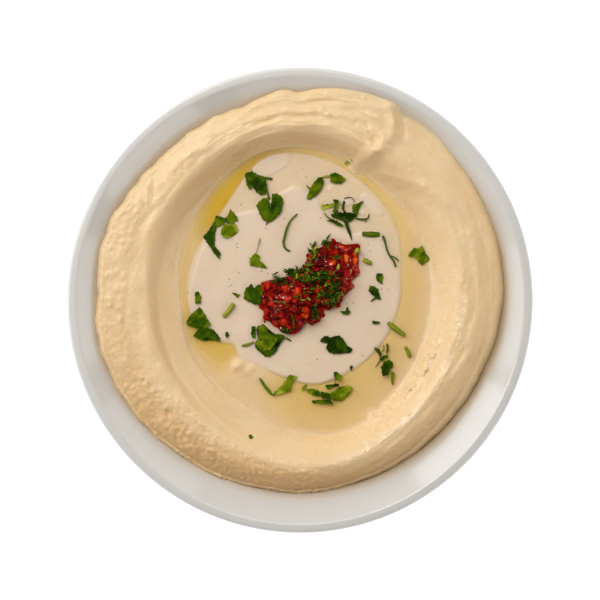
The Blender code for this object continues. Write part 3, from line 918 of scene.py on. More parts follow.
def makeOil():
    # level but for faint swells, with a rim that climbs its bank as climb * exp(-distance / reach); how solid
    # its colour looks is most * (1 - exp(-depth / depthScale))
    turn = allRound(oil["columns"])
    bank = roundCurve(turn, oilEdgeStops)
    part = np.concatenate([np.linspace(0.10, 0.5, oil["innerRows"], endpoint=False),
                           np.linspace(0.5, 1.0, oil["outerRows"])])
    radius = part[:, None] * (bank + 1.0)
    height = dish["oilLevel"] + oil["climb"] * np.exp(-np.clip(bank + 0.4 - radius, 0, None) / oil["reach"])
    bottom = np.maximum(hummusHeight(radius, turn + 0 * radius), 0)
    edge = roundCurve(turn, tahiniEdgeStops)
    bottom = np.where(radius < edge, np.maximum(bottom, tahiniHeight(np.minimum(radius, edge), turn)), bottom)
    depth = np.clip(height - bottom, 0, None)
    cover = oil["most"] * (1 - np.exp(-depth / oil["depthScale"]))
    height = height + oil["swellHeight"] * grain(radius.shape, *oil["swell"]) * smooth(depth / 0.5)
    x, y = placeAt(radius, turn)
    low = dish["oilLevel"] - oil["below"]
    grid = withFoot(x, y, height, low)
    poles = [[*dish["centre"], dish["oilLevel"]], [*dish["centre"], low]]
    attributes = {}
    for key, field, side in zip(("cover", "depth"), (cover, depth), oil["side"]):
        attributes[key] = np.concatenate([field, np.full((1, oil["columns"]), side)]), [0.0, side]
    piece = makeShell("olive_oil_pool", grid, poles, "olive_oil", attributes)
    piece.data.materials.append(oilFinish())
    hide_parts("olive_oil")


def oilFinish():
    finish = Finish("olive_oil", {"IOR": 1.47})
    cloud = finish.noise(70.0)
    colour = finish.blend(finish.mask(finish.attribute("depth"), 0.3, 2.6), oil["thin"], oil["deep"])
    finish.set("Base Color", finish.blend(finish.mask(cloud, 0.3, 0.8) * 0.25, colour, oil["deep"]))
    finish.set("Alpha", finish.attribute("cover"))
    finish.set("Roughness", 0.05 + 0.04 * cloud)
    finish.set("Normal", finish.bump(cloud, 0.15, 0.2))
    return finish.material


# the pepper paste

paste = {
    "centre": (3.7, 5.3), "columns": 340, "rows": 80,
    "base": dish["oilLevel"] + 0.2, "height": 6.3, "inset": 0.7, "wider": 1.035,
    "below": 0.8, "fused": 190, "fleck": (0.62, 0.12, 0.02),
    "bits": 90, "smallest": 0.5, "largest": 1.7, "sunk": 0.25,
    "chunk": {"rows": 7, "columns": 11, "squareness": 0.80, "rough": 0.20, "seed": 52},
    "fusedSeed": 44, "bitSeed": 51, "tries": 6000,
    "small": ((2.2, 5.0), 42), "flow": ((12.0, 4.0), 43),       # lengths in grid steps and seed
    # the heap's humps: (x, y), width, share of the height
    "humps": [((-5.2, -2.6), 9.0, 1.0), ((12.6, 12.4), 9.5, 0.96), ((4.0, 5.0), 6.5, 0.45)],
    # tone from 0, nearly black red, to 1, orange
    "tones": [(0.0, (0.070, 0.001, 0.001)), (0.26, (0.23, 0.003, 0.001)), (0.54, (0.44, 0.012, 0.004)),
              (0.80, (0.66, 0.050, 0.010)), (1.0, (0.88, 0.19, 0.012))],
    # the biggest pieces, placed one by one: x, y, half length, tone
    "lumps": [(-6.2, 5.0, 2.3, 0.78), (-1.2, 3.4, 2.2, 0.85), (7.7, 4.1, 2.0, 0.62),
              (3.1, 11.3, 1.4, 0.74), (13.4, 11.2, 1.5, 0.90), (2.6, -4.6, 1.9, 0.80),
              (2.2, -6.9, 1.6, 0.86), (-7.0, -9.7, 2.0, 0.72), (-11.0, -10.9, 2.1, 0.66),
              (-15.0, -5.0, 2.2, 0.55), (11.3, -4.7, 2.0, 0.30), (5.2, -9.8, 2.2, 0.35),
              (-2.0, -4.0, 2.3, 0.16), (-8.6, -3.2, 2.5, 0.22), (0.0, -10.2, 2.3, 0.15),
              (14.0, 15.8, 1.7, 0.88), (17.9, 23.2, 1.2, 0.93), (20.0, 18.9, 1.1, 1.15),
              (20.0, 17.3, 1.1, 1.05), (23.9, 19.8, 1.1, 1.05), (24.0, 18.0, 1.2, 1.15),
              (23.9, 16.4, 1.0, 0.95), (8.2, 16.2, 2.4, 0.05), (11.2, 20.6, 2.2, 0.08),
              (15.5, 20.6, 1.9, 0.50), (-14.0, 6.0, 1.8, 0.68), (-11.5, 2.0, 1.9, 0.20),
              (-12.5, -2.0, 1.6, 0.58), (-4.5, 0.5, 1.7, 0.66), (6.0, 0.5, 1.9, 0.12),
              (19.6, 21.4, 1.5, 0.60)],
}
pasteEdge = [(-163, 22.4), (-151, 22.4), (-146, 23.9), (-138, 22.6), (-127, 22.6), (-113, 21.4),
             (-100, 19.0), (-97, 16.6), (-85, 16.4), (-75, 15.5), (-60, 13.2), (-34, 14.2), (-18, 16.3),
             (-6, 17.5), (2, 19.4), (9, 19.2), (15, 22.5), (25, 24.2), (34, 26.5), (40, 28.2), (46, 26.0),
             (51, 24.2), (57, 24.3), (66, 21.6), (75, 18.2), (89, 14.3), (98, 11.5), (130, 9.3),
             (150, 10.4), (165, 15.0), (172, 19.6), (-177, 20.9)]


def pasteReach(turn):       # the outline's distance from the heap's centre
    angle = np.radians(turn)
    ripple = 0.35 * np.sin(9 * angle + 1) + 0.28 * np.sin(16 * angle + 2) + 0.22 * np.sin(29 * angle)
    return roundCurve(turn, pasteEdge) * paste["wider"] - paste["inset"] + ripple


def pasteRise(x, y):
    # the heap above its base: the tallest of a few bells, brought down to nothing at its outline by
    # (1 - share^3)^0.5, where share is the way out to the outline
    dx = x - paste["centre"][0]
    dy = y - paste["centre"][1]
    share = np.hypot(dx, dy) / pasteReach(np.degrees(np.arctan2(dy, dx)))
    humps = [part * bell(np.hypot(x - spot[0], y - spot[1]), width) for spot, width, part in paste["humps"]]
    body = np.maximum.reduce(humps) * 0.75 + 0.25
    return paste["height"] * body * np.sqrt(np.clip(1 - np.clip(share, 0, 1) ** 3.0, 0, None)), share


def fusedLumps(x, y):
    # many lumps grown together: each an ellipsoid cap lift * (1 - d^2)^0.5; the highest wins and gives the
    # tone, which is darker by 0.35 towards its rim as painted shade in the gaps between lumps
    rng = np.random.default_rng(paste["fusedSeed"])
    spots = rng.uniform((-18, -16), (19, 27), (paste["fused"], 2))
    big = np.array(paste["lumps"])
    halves = np.concatenate([rng.uniform(1.1, 2.4, len(spots)), big[:, 2] * 1.1])
    lifts = np.concatenate([rng.uniform(0.5, 1.5, len(spots)), np.full(len(big), 1.9)])
    kinds = np.concatenate([rng.beta(1.3, 2.6, len(spots)) * 0.68, big[:, 3]])
    spots = np.concatenate([spots, big[:, :2]])
    lifted = 0 * x
    tone = 0.16 + 0 * x
    for spot, half, lift, kind in zip(spots, halves, lifts, kinds):
        along, across = turned(x - spot[0], y - spot[1], 7 * half)      # each lies its own way
        away = (along / half) ** 2 + (across / (0.72 * half)) ** 2
        cap = lift * np.sqrt(np.clip(1 - away, 0, None))
        # darker towards each lump's rim: painted shade between the lumps
        tone = np.where(cap > lifted, kind - 0.35 * away, tone)
        lifted = np.maximum(lifted, cap)
    return lifted, tone


def makeSauce():
    # the wet core under the chopped bits: the heap with its fused lumps and a fine relief, but smooth and
    # drawn out on the flank at the right
    turn = allRound(paste["columns"])
    reach = np.linspace(0.03, 1.0, paste["rows"])[:, None] ** 0.8 * pasteReach(turn)
    x = paste["centre"][0] + reach * np.cos(np.radians(turn))
    y = paste["centre"][1] + reach * np.sin(np.radians(turn))
    rise, share = pasteRise(x, y)
    lifted, tone = fusedLumps(x, y)
    small, flow = [grain(x.shape, *paste[key]) for key in ("small", "flow")]
    inward = smooth((1 - share) * 7)
    plain = smooth((x - 18.2) / 1.6) * smooth((y - 2.0) / 3.0)
    relief = 0.9 * lifted * (1 - 0.9 * plain) + 0.14 * (1 - plain) * small + 0.20 * plain * flow
    rise = rise + relief * inward
    tone = tone + plain * (0.10 * flow + 0.12)
    height = paste["base"] + np.maximum(rise, 0.05)
    low = dish["oilLevel"] - paste["below"]
    grid = withFoot(x, y, height, low)
    poles = [[*paste["centre"], height[0].mean()], [*paste["centre"], low]]
    tones = np.concatenate([tone, tone[-1:]]), [0.3, 0.1]
    piece = makeShell("pepper_sauce", grid, poles, "pepper_paste", {"tone": tones})
    piece.data.materials.append(pasteFinish("pepper_sauce", 0.75))
    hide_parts("pepper_paste")


def chunkPoints(centres, sizes, frames):
    # a ball whose sines and cosines are raised to squareness, stretched by sizes (n, 3), turned by frames
    # (n, 3, 3), with each point pushed in or out by up to rough
    chunk = paste["chunk"]
    rng = np.random.default_rng(chunk["seed"])
    up = np.radians(np.linspace(90, -90, chunk["rows"] + 2)[1:-1])[:, None]
    around = np.radians(np.linspace(0, 360, chunk["columns"], endpoint=False))[None, :]

    def bent(value):
        return np.sign(value) * np.abs(value) ** chunk["squareness"]
    ball = np.stack([bent(np.cos(up)) * bent(np.cos(around)), bent(np.cos(up)) * bent(np.sin(around)),
                     bent(np.sin(up)) + 0 * around], axis=-1).reshape(-1, 3)
    ball = np.concatenate([ball, [[0, 0, 1], [0, 0, -1]]])
    pushed = ball[None] * (1 + chunk["rough"] * rng.uniform(-1, 1, (len(centres), len(ball), 1)))
    return np.einsum("nij,nkj->nki", frames, pushed * sizes[:, None, :]) + centres[:, None, :]


def makeBits():
    # chopped bits at random all over the core, fewer on the smooth flank, half sunk in
    rng = np.random.default_rng(paste["bitSeed"])
    tries = rng.uniform((-20, -17), (28, 27), (paste["tries"], 2))
    _, share = pasteRise(tries[:, 0], tries[:, 1])
    flank = smooth((tries[:, 0] - 18.0) / 2.0) * smooth((tries[:, 1] - 1.0) / 3.0)
    keep = (share < 1.03) & (rng.uniform(size=len(tries)) > flank)
    spots = tries[keep][:paste["bits"]]
    count = len(spots)
    half = paste["smallest"] + (paste["largest"] - paste["smallest"]) * rng.beta(1.3, 1.9, count)
    tone = rng.beta(1.5, 1.9, count)
    rise, share = pasteRise(spots[:, 0], spots[:, 1])
    rise = rise + 0.7 * smooth((1 - share) * 7)
    shape = np.stack([np.ones(count), rng.uniform(0.45, 0.9, count), rng.uniform(0.28, 0.6, count)], -1)
    sizes = half[:, None] * shape
    sunk = rng.uniform(-0.9, 0.5, count) * sizes[:, 2] + paste["sunk"] * rng.uniform(0, 1, count)
    centres = np.column_stack([spots, paste["base"] + rise + sunk])
    yaw = rng.uniform(0, 2 * np.pi, count)
    frames = turnedFrames(yaw, rng.normal(0, 0.42, count), rng.normal(0, 0.42, count))
    points = chunkPoints(centres, sizes, frames)
    points[..., 2] = np.maximum(points[..., 2], dish["oilLevel"] + 0.05)
    faces = repeatShell(count, paste["chunk"]["rows"], paste["chunk"]["columns"])
    tones = np.repeat(tone, points.shape[1])
    piece = makeObject("pepper_bits", points.reshape(-1, 3), faces, "pepper_paste", {"tone": tones})
    piece.data.materials.append(pasteFinish("pepper_bits", 0.7))
    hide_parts("pepper_paste")


def pasteFinish(name, share):       # share is how much of the tone comes from the mesh, the rest is patches
    finish = Finish(name, {"IOR": 1.47, "Specular IOR Level": 0.05, "Subsurface Weight": 0.12,
                           "Subsurface Radius": (1.0, 0.10, 0.04), "Subsurface Scale": 0.0012,
                           "Coat Roughness": 0.03, "Coat IOR": 2.4})
    cloud = finish.noise(420.0, 3.0, 0.6)
    fine = finish.noise(1500.0)
    patch = finish.mask(finish.noise(330.0), 0.34, 0.66)
    tone = finish.attribute("tone") * share + patch * (1 - share) + (cloud - 0.5) * 0.5
    base = finish.ramp(tone, paste["tones"])
    finish.set("Base Color", finish.blend(finish.mask(fine, 0.66, 0.76) * 0.5, base, paste["fleck"]))
    glints = finish.mask(finish.noise(1300.0, 1.0), 0.57, 0.63)
    finish.set("Coat Weight", glints * finish.mask(finish.noise(150.0, 1.0), 0.50, 0.58))
    finish.set("Roughness", 0.25 + 0.25 * cloud)
    finish.set("Normal", finish.bump(cloud + fine * 0.3, 0.30, 0.8))
    return finish.material


# the parsley

def groundAt(x, y):     # the highest of hummus, tahini, oil and paste at a place
    radius, turn = polarOf(x, y)
    height = hummusHeight(radius, turn)
    edge = roundCurve(turn, tahiniEdgeStops)
    height = np.where(radius < edge, np.maximum(height, tahiniHeight(np.minimum(radius, edge), turn)), height)
    height = np.where(radius < roundCurve(turn, oilEdgeStops), np.maximum(height, dish["oilLevel"]), height)
    rise, share = pasteRise(x, y)
    return np.where(share < 1, np.maximum(height, paste["base"] + rise), height)


parsley = {
    "seed": 61,
    "leafRows": 7, "step": 0.42, "fewestColumns": 18, "thickness": 0.20, "clear": 0.14, "over": 0.28,
    "toothLength": (1.7, 2.6), "tooth": 0.28, "toothSink": 0.22, "ragged": 0.11,
    "stemColumns": 12, "stemStep": 0.5, "stemClear": 0.22, "stemArch": 0.25,
    "roundStem": 0.75, "flatStem": 0.35,
    "dark": (0.010, 0.028, 0.001), "green": (0.046, 0.100, 0.001), "light": (0.155, 0.210, 0.001),
    "pale": (0.44, 0.45, 0.04), "dry": (0.30, 0.24, 0.14),
}
# leaves: tone (0 dark, 1 pale), how far the sides curl up, outline
leaves = [
    (0.30, 0.5, [(-23.7, 54.2), (-21.1, 55.3), (-18.7, 54.5), (-18.1, 53.1), (-19.8, 50.7), (-20.7, 48.3),
                 (-21.6, 47.1), (-23.0, 49.2)]),
    (0.25, 0.9, [(-18.7, 53.8), (-14.5, 51.6), (-14.1, 48.3), (-14.5, 45.9), (-16.9, 44.9), (-19.0, 46.5),
                 (-20.5, 48.9), (-19.8, 51.3)]),
    (0.32, 0.7, [(-13.6, 44.1), (-12.7, 40.8), (-13.0, 36.3), (-13.6, 33.4), (-15.7, 34.0), (-17.2, 36.6),
                 (-18.7, 40.2), (-18.1, 41.7), (-15.7, 43.8)]),
    (0.22, 1.0, [(-12.0, 45.6), (-10.0, 45.9), (-7.9, 44.4), (-7.1, 42.3), (-8.2, 37.5), (-10.9, 34.5),
                 (-13.6, 33.0), (-14.4, 34.5), (-13.0, 37.5), (-12.4, 41.7)]),
    (0.40, 0.8, [(-30.0, 39.1), (-27.8, 37.0), (-26.3, 33.9), (-27.8, 33.9), (-29.0, 32.7), (-32.0, 33.0),
                 (-32.3, 35.1), (-30.8, 36.6)]),
    (0.72, 0.5, [(-32.0, 32.7), (-28.4, 33.3), (-27.2, 32.4), (-26.6, 29.7), (-27.5, 28.2), (-29.6, 27.0),
                 (-32.0, 26.2), (-34.1, 28.2), (-33.8, 30.3), (-32.9, 31.8)]),
    (0.42, 0.6, [(-35.9, 36.3), (-33.8, 35.7), (-31.8, 35.1), (-32.3, 33.0), (-34.1, 32.1), (-35.9, 31.2),
                 (-37.1, 33.0), (-36.7, 34.8)]),
    (0.28, 0.7, [(-36.7, 33.9), (-35.4, 31.8), (-36.4, 28.8), (-36.6, 23.3), (-38.1, 21.8), (-41.7, 27.1),
                 (-38.9, 30.4), (-37.7, 32.7)]),
    (0.35, 0.4, [(-36.6, 23.3), (-34.0, 20.3), (-34.2, 18.2), (-34.6, 17.3), (-35.9, 18.8), (-38.1, 21.8)]),
    (0.46, 0.6, [(-19.1, 20.4), (-16.9, 18.7), (-17.9, 17.7), (-14.9, 14.8), (-14.0, 13.4), (-18.2, 14.2),
                 (-21.5, 14.7), (-21.7, 17.8)]),
    (0.42, 0.9, [(8.3, 52.8), (9.5, 52.8), (10.4, 50.4), (9.2, 47.4), (7.4, 45.3), (4.0, 42.8),
                 (2.7, 43.2), (3.6, 46.2), (4.5, 48.0), (5.6, 50.1), (7.1, 51.9)]),
    (0.45, 0.8, [(12.5, 53.5), (13.4, 54.4), (15.2, 54.8), (17.6, 53.5), (19.7, 51.8), (17.6, 49.8),
                 (15.2, 50.0), (12.8, 50.4), (13.1, 51.9)]),
    (0.85, 0.4, [(19.1, 59.0), (20.3, 59.9), (21.8, 60.4), (22.5, 58.9), (20.9, 58.4), (19.1, 57.8)]),
    (0.80, 0.7, [(8.9, 41.6), (10.7, 40.8), (14.9, 41.7), (15.2, 40.2), (11.6, 39.3), (9.9, 38.2),
                 (9.2, 39.3)]),
    (0.38, 1.2, [(13.7, 43.2), (16.1, 43.4), (16.7, 42.3), (16.1, 39.9), (15.2, 37.5), (13.7, 37.5),
                 (14.9, 40.5), (15.5, 42.6)]),
    (0.36, 1.0, [(22.4, 40.8), (24.5, 41.4), (27.5, 42.8), (25.7, 39.9), (24.5, 36.6), (23.3, 36.0),
                 (22.4, 38.4)]),
    (0.05, 1.4, [(13.1, 36.6), (14.9, 37.5), (19.1, 37.8), (22.1, 37.5), (24.5, 36.3), (22.1, 33.9),
                 (20.9, 33.6), (18.8, 33.6), (16.1, 34.8), (13.7, 35.4)]),
    (0.28, 0.8, [(11.3, 33.9), (13.1, 35.1), (16.1, 33.9), (19.1, 31.8), (17.3, 31.5), (14.9, 32.4),
                 (13.1, 33.6)]),
    (0.48, 0.4, [(-44.4, 4.1), (-43.1, 2.8), (-42.4, 1.0), (-42.6, -1.4), (-45.2, -1.6), (-44.9, 0.7),
                 (-45.2, 2.8)]),
    (0.45, 0.6, [(-43.1, -2.8), (-41.4, -5.1), (-38.1, -10.5), (-39.9, -12.0), (-44.4, -12.3),
                 (-48.3, -10.8), (-49.2, -9.9), (-47.4, -6.9)]),
    (0.20, 0.5, [(-44.1, -12.6), (-41.7, -11.7), (-39.3, -11.8), (-36.9, -12.9), (-34.5, -15.9),
                 (-34.2, -18.0), (-36.9, -17.5), (-42.3, -17.4), (-45.8, -15.6)]),
    (0.30, 0.3, [(-29.5, 3.4), (-25.4, 2.2), (-26.6, 1.0), (-27.5, 1.3)]),
    (0.38, 0.8, [(-20.8, 7.3), (-19.7, 4.9), (-18.2, 6.7), (-16.7, 6.4), (-15.8, 3.7), (-17.0, -1.7),
                 (-19.1, -2.0), (-24.2, 0.4), (-24.1, 2.8), (-23.3, 4.9), (-21.8, 6.4)]),
    (0.20, 0.3, [(-31.8, -13.5), (-30.6, -13.8), (-30.3, -15.6), (-31.3, -16.5), (-32.2, -15.3)]),
    (0.22, 0.6, [(-20.7, -11.0), (-19.1, -11.4), (-19.0, -13.8), (-19.1, -16.2), (-20.5, -16.5),
                 (-21.1, -14.1)]),
    (0.18, 0.4, [(-18.4, -11.4), (-15.7, -10.2), (-13.3, -12.6), (-10.9, -14.4), (-7.9, -14.7),
                 (-6.2, -15.6), (-8.2, -18.6), (-10.3, -22.3), (-12.7, -24.2), (-14.8, -24.4),
                 (-16.6, -22.9), (-19.3, -20.5), (-19.3, -18.6), (-18.1, -16.2), (-18.7, -13.5)]),
    (0.55, 1.3, [(-17.2, -10.5), (-14.5, -11.4), (-13.6, -13.8), (-10.9, -15.9), (-9.4, -16.5),
                 (-10.0, -18.3), (-12.7, -21.4), (-15.7, -22.0), (-18.1, -20.2), (-18.8, -18.6),
                 (-17.5, -15.9), (-17.8, -12.9)]),
    (0.10, 0.7, [(8.3, -17.9), (9.6, -15.9), (11.7, -15.1), (12.8, -16.2), (15.6, -15.2), (17.1, -15.1),
                 (19.1, -17.6), (20.3, -19.7), (22.6, -20.9), (21.5, -22.7), (15.2, -23.2), (12.6, -22.6),
                 (11.1, -21.1), (11.6, -18.6)]),
    (0.74, 0.4, [(-4.5, -32.0), (-1.1, -32.8), (-3.3, -35.8), (-3.9, -39.1), (-6.6, -40.0),
                 (-12.1, -41.4), (-10.9, -39.4), (-7.9, -36.4)]),
    (0.85, 0.3, [(0.3, -37.9), (2.1, -36.1), (3.1, -36.1), (2.7, -38.2), (1.2, -39.1)]),
    (0.42, 0.5, [(2.7, -38.8), (4.8, -37.8), (8.4, -38.8), (8.9, -41.2), (7.2, -41.5), (3.6, -40.0)]),
    (0.38, 0.7, [(8.7, -39.1), (12.6, -39.7), (13.7, -42.7), (9.6, -42.4), (8.9, -40.9)]),
    (0.30, 0.4, [(4.8, -43.2), (8.4, -42.6), (12.9, -42.7), (14.6, -45.0), (11.4, -44.7), (5.7, -44.4)]),
    (0.12, 0.9, [(10.8, -36.4), (13.8, -36.0), (16.7, -35.8), (16.8, -37.0), (13.8, -37.6), (12.0, -38.5),
                 (11.0, -37.6)]),
    (0.40, 1.0, [(14.4, -31.0), (15.6, -30.4), (18.0, -32.5), (17.4, -34.3), (15.6, -34.8), (14.4, -32.8)]),
    (0.62, 0.8, [(12.8, -39.7), (15.2, -38.4), (17.0, -37.2), (20.6, -36.7), (22.7, -37.5), (21.5, -40.2),
                 (19.4, -42.3), (17.6, -43.3), (14.4, -43.2), (13.2, -41.5)]),
    (0.20, 0.3, [(22.3, -27.7), (22.7, -29.0), (22.3, -30.5), (21.1, -29.9), (21.5, -28.4)]),
    (0.12, 0.3, [(31.0, -8.9), (32.7, -8.8), (34.8, -9.6), (33.0, -10.4), (31.0, -10.2)]),
    (0.25, 0.7, [(31.6, -20.9), (33.0, -20.6), (34.5, -21.5), (35.1, -23.3), (34.5, -25.1), (33.3, -22.7)]),
    (0.22, 0.9, [(36.0, -23.6), (37.8, -23.3), (38.0, -24.5), (35.7, -26.0), (34.5, -26.6), (33.9, -25.1)]),
    (0.25, 1.1, [(36.0, -26.3), (38.1, -25.4), (39.7, -26.6), (40.0, -28.4), (38.7, -29.9), (37.8, -32.0),
                 (36.3, -32.9), (35.2, -32.6), (34.8, -29.0)]),
    (0.60, 0.3, [(39.0, -30.5), (40.5, -30.8), (40.2, -36.0), (39.3, -36.0), (38.6, -32.9)]),
    (0.25, 0.6, [(29.9, 6.2), (31.4, 6.2), (33.5, 4.9), (34.8, 0.1), (33.6, 0.1), (32.0, 1.4),
                 (30.6, 2.5), (29.3, 4.0)]),
    (0.45, 0.4, [(32.9, 11.5), (35.4, 11.4), (35.6, 9.7), (35.3, 6.5), (34.1, 7.3), (32.4, 9.1)]),
    (0.30, 0.4, [(20.1, -2.3), (21.7, -5.4), (20.8, -6.3), (18.4, -6.3), (17.2, -4.7), (19.6, -4.7)]),
    (0.55, 0.5, [(45.9, 19.0), (47.4, 20.9), (49.3, 22.7), (50.3, 21.9), (52.4, 23.5), (52.9, 22.0),
                 (53.4, 20.6), (54.5, 18.9), (55.6, 18.0), (55.1, 17.1), (52.0, 14.8), (49.9, 17.5),
                 (48.6, 18.9), (47.6, 18.3)]),
    (0.30, 0.2, [(-21.8, -57.2), (-20.6, -57.4), (-19.4, -58.6), (-20.6, -59.2), (-21.9, -58.4)]),
]
# strips and stems: tone, half widths at the start, middle and end, path
strips = [
    (0.45, (0.45, 0.45, 0.65), [(-18.4, 53.6), (-15.4, 52.5), (-11.8, 51.9)]),
    (0.45, (0.5, 0.35, 0.4), [(-14.4, 48.0), (-13.9, 45.6), (-13.0, 43.2)]),
    (0.05, (0.3, 0.25, 0.15), [(-13.6, 33.4), (-14.2, 33.0), (-14.8, 32.1)]),
    (0.55, (0.35, 0.52, 0.5), [(-1.1, 37.0), (-3.7, 34.5), (-5.6, 30.9), (-6.5, 27.6), (-7.1, 24.2),
                               (-6.2, 22.0), (-4.3, 20.9)]),
    (-0.20, (0.32, 0.22, 0.1), [(-17.1, 26.5), (-17.7, 24.2), (-18.7, 20.6)]),
    (0.30, (0.15, 0.25, 0.3), [(-20.8, 55.9), (-20.5, 54.8), (-20.2, 54.1)]),
    (0.85, (0.3, 0.4, 0.4), [(9.2, 52.7), (11.0, 53.0), (12.8, 53.3)]),
    (0.30, (0.15, 0.3, 0.4), [(2.7, 49.2), (3.6, 48.3), (4.5, 47.7)]),
    (0.15, (0.6, 0.45, 0.45), [(19.0, 42.6), (18.5, 39.9), (19.1, 37.2)]),
    (0.35, (0.25, 0.2, 0.2), [(18.8, 43.5), (20.9, 44.1), (22.7, 43.5), (23.3, 42.0)]),
    (0.12, (1.0, 0.8, 0.15), [(19.6, 34.8), (20.2, 31.8), (21.5, 28.2), (22.3, 25.4)]),
    (0.30, (0.45, 0.4, 0.25), [(23.6, 35.2), (26.3, 34.6), (29.0, 35.1), (29.7, 37.2)]),
    (0.50, (0.25, 0.2, 0.1), [(28.7, 34.9), (28.3, 34.0), (27.7, 33.3)]),
    (0.15, (0.15, 0.25, 0.3), [(10.3, 37.6), (11.3, 36.0), (13.1, 34.8)]),
    (0.10, (0.3, 0.4, 0.3), [(14.9, 41.4), (15.2, 39.3), (16.4, 37.5)]),
    (0.90, (0.4, 0.4, 0.3), [(17.7, 41.4), (17.9, 39.9), (18.0, 38.7)]),
    (0.50, (1.05, 1.15, 1.05), [(26.6, 28.4), (30.4, 28.2), (34.3, 28.1)]),
    (0.42, (0.5, 0.4, 0.45), [(35.5, 27.7), (36.4, 25.1), (37.2, 21.8), (38.4, 19.1), (40.2, 16.7),
                              (41.1, 14.0)]),
    (0.42, (0.25, 0.3, 0.35), [(38.7, 19.1), (40.8, 18.2), (42.3, 16.7)]),
    (0.90, (0.9, 0.95, 0.85), [(-28.4, -1.3), (-30.6, -4.6), (-33.1, -7.3)]),
    (0.75, (0.4, 0.5, 0.55), [(-19.6, -17.9), (-22.3, -19.0), (-25.0, -19.7)]),
    (0.25, (0.3, 0.25, 0.2), [(-6.3, -16.2), (-5.0, -17.0), (-3.6, -17.7)]),
    (0.60, (0.45, 0.75, 0.5), [(-17.3, -33.6), (-14.8, -37.3), (-11.9, -40.8)]),
    (0.30, (0.2, 0.2, 0.2), [(14.9, -34.3), (15.0, -35.2), (15.0, -36.0)]),
    (0.80, (0.9, 1.15, 0.9), [(37.5, -9.6), (40.8, -12.2), (44.9, -15.2)]),
    (0.82, (0.7, 0.85, 0.8), [(45.0, -19.9), (46.2, -22.1), (47.1, -24.7)]),
    (0.40, (0.4, 0.4, 0.3), [(32.1, -20.3), (33.3, -21.8), (34.5, -24.2)]),
    (0.45, (0.5, 0.5, 0.35), [(37.3, -18.6), (37.6, -20.6), (37.2, -23.0)]),
    (0.15, (0.3, 0.25, 0.15), [(34.3, -26.0), (33.3, -27.5), (32.2, -29.1)]),
    (0.70, (0.25, 0.3, 0.25), [(35.8, -19.4), (36.0, -20.9), (35.1, -22.4)]),
    (0.85, (0.9, 1.0, 0.9), [(26.9, 17.4), (28.7, 16.6), (30.6, 15.6)]),
    (0.20, (0.4, 0.4, 0.2), [(33.8, 1.3), (32.0, 0.7), (30.3, -0.7)]),
    (0.30, (0.2, 0.3, 0.3), [(17.2, -4.9), (18.4, -5.4), (19.3, -5.7)]),
    (0.35, (0.15, 0.4, 0.6), [(13.1, 28.5), (11.6, 26.3), (10.7, 23.3)]),
    (0.40, (0.25, 0.35, 0.4), [(6.8, 25.1), (6.5, 23.3), (5.8, 21.2)]),
    (0.55, (0.2, 0.3, 0.2), [(-11.6, -0.6), (-9.2, -0.8), (-6.8, -1.2), (-5.3, -2.9)]),
    (0.55, (0.25, 0.25, 0.2), [(-5.4, -1.4), (-4.7, 0.5), (-3.2, 1.8)]),
    (0.50, (0.2, 0.3, 0.25), [(-3.8, -5.9), (-2.7, -8.9), (-2.6, -12.5)]),
    (0.45, (0.2, 0.4, 0.2), [(4.9, 2.1), (7.1, 1.1), (9.2, -1.1)]),
    (0.25, (0.3, 0.5, 0.3), [(6.8, -2.6), (5.8, -4.7), (5.5, -6.8)]),
    (0.30, (0.3, 0.3, 0.15), [(7.4, -5.0), (8.0, -6.5), (8.6, -8.3)]),
    (0.40, (0.2, 0.3, 0.15), [(-6.2, -16.1), (-5.0, -16.7), (-3.6, -17.6)]),
    (0.30, (0.3, 0.6, 0.4), [(-8.9, -12.2), (-6.8, -12.6), (-4.7, -12.5)]),
    (0.95, (0.5, 0.9, 0.5), [(24.9, 22.4), (24.3, 21.0), (23.5, 19.9)]),
    (0.95, (0.4, 0.7, 0.4), [(16.6, 15.4), (16.3, 14.0), (16.0, 12.6)]),
]


def leafRim(outline, rng):
    # the outline walked anticlockwise in even steps, rounded a little by a mean of three, with teeth
    # tooth * |sin(way / toothLength)| and a random raggedness
    corners = np.array(outline)
    following = np.roll(corners, -1, axis=0)
    if np.sum(corners[:, 0] * following[:, 1] - following[:, 0] * corners[:, 1]) < 0:
        corners = corners[::-1]
    closed = np.concatenate([corners, corners[:1]])
    lengths = np.hypot(*np.diff(closed, axis=0).T)
    total = lengths.sum()
    columns = max(parsley["fewestColumns"], int(total / parsley["step"]))
    stops = np.concatenate([[0], np.cumsum(lengths)])
    places = np.linspace(0, total, columns, endpoint=False)
    rim = np.stack([np.interp(places, stops, closed[:, axis]) for axis in (0, 1)], -1)
    rim = 0.12 * np.roll(rim, 1, axis=0) + 0.76 * rim + 0.12 * np.roll(rim, -1, axis=0)
    centre = rim.mean(axis=0)
    outward = (rim - centre) / np.hypot(*(rim - centre).T)[:, None]
    wave = np.abs(np.sin(places / rng.uniform(*parsley["toothLength"]) * np.pi + rng.uniform(0, 3)))
    teeth = parsley["tooth"] * wave - parsley["toothSink"] + parsley["ragged"] * rng.standard_normal(columns)
    return rim + outward * teeth[:, None], centre


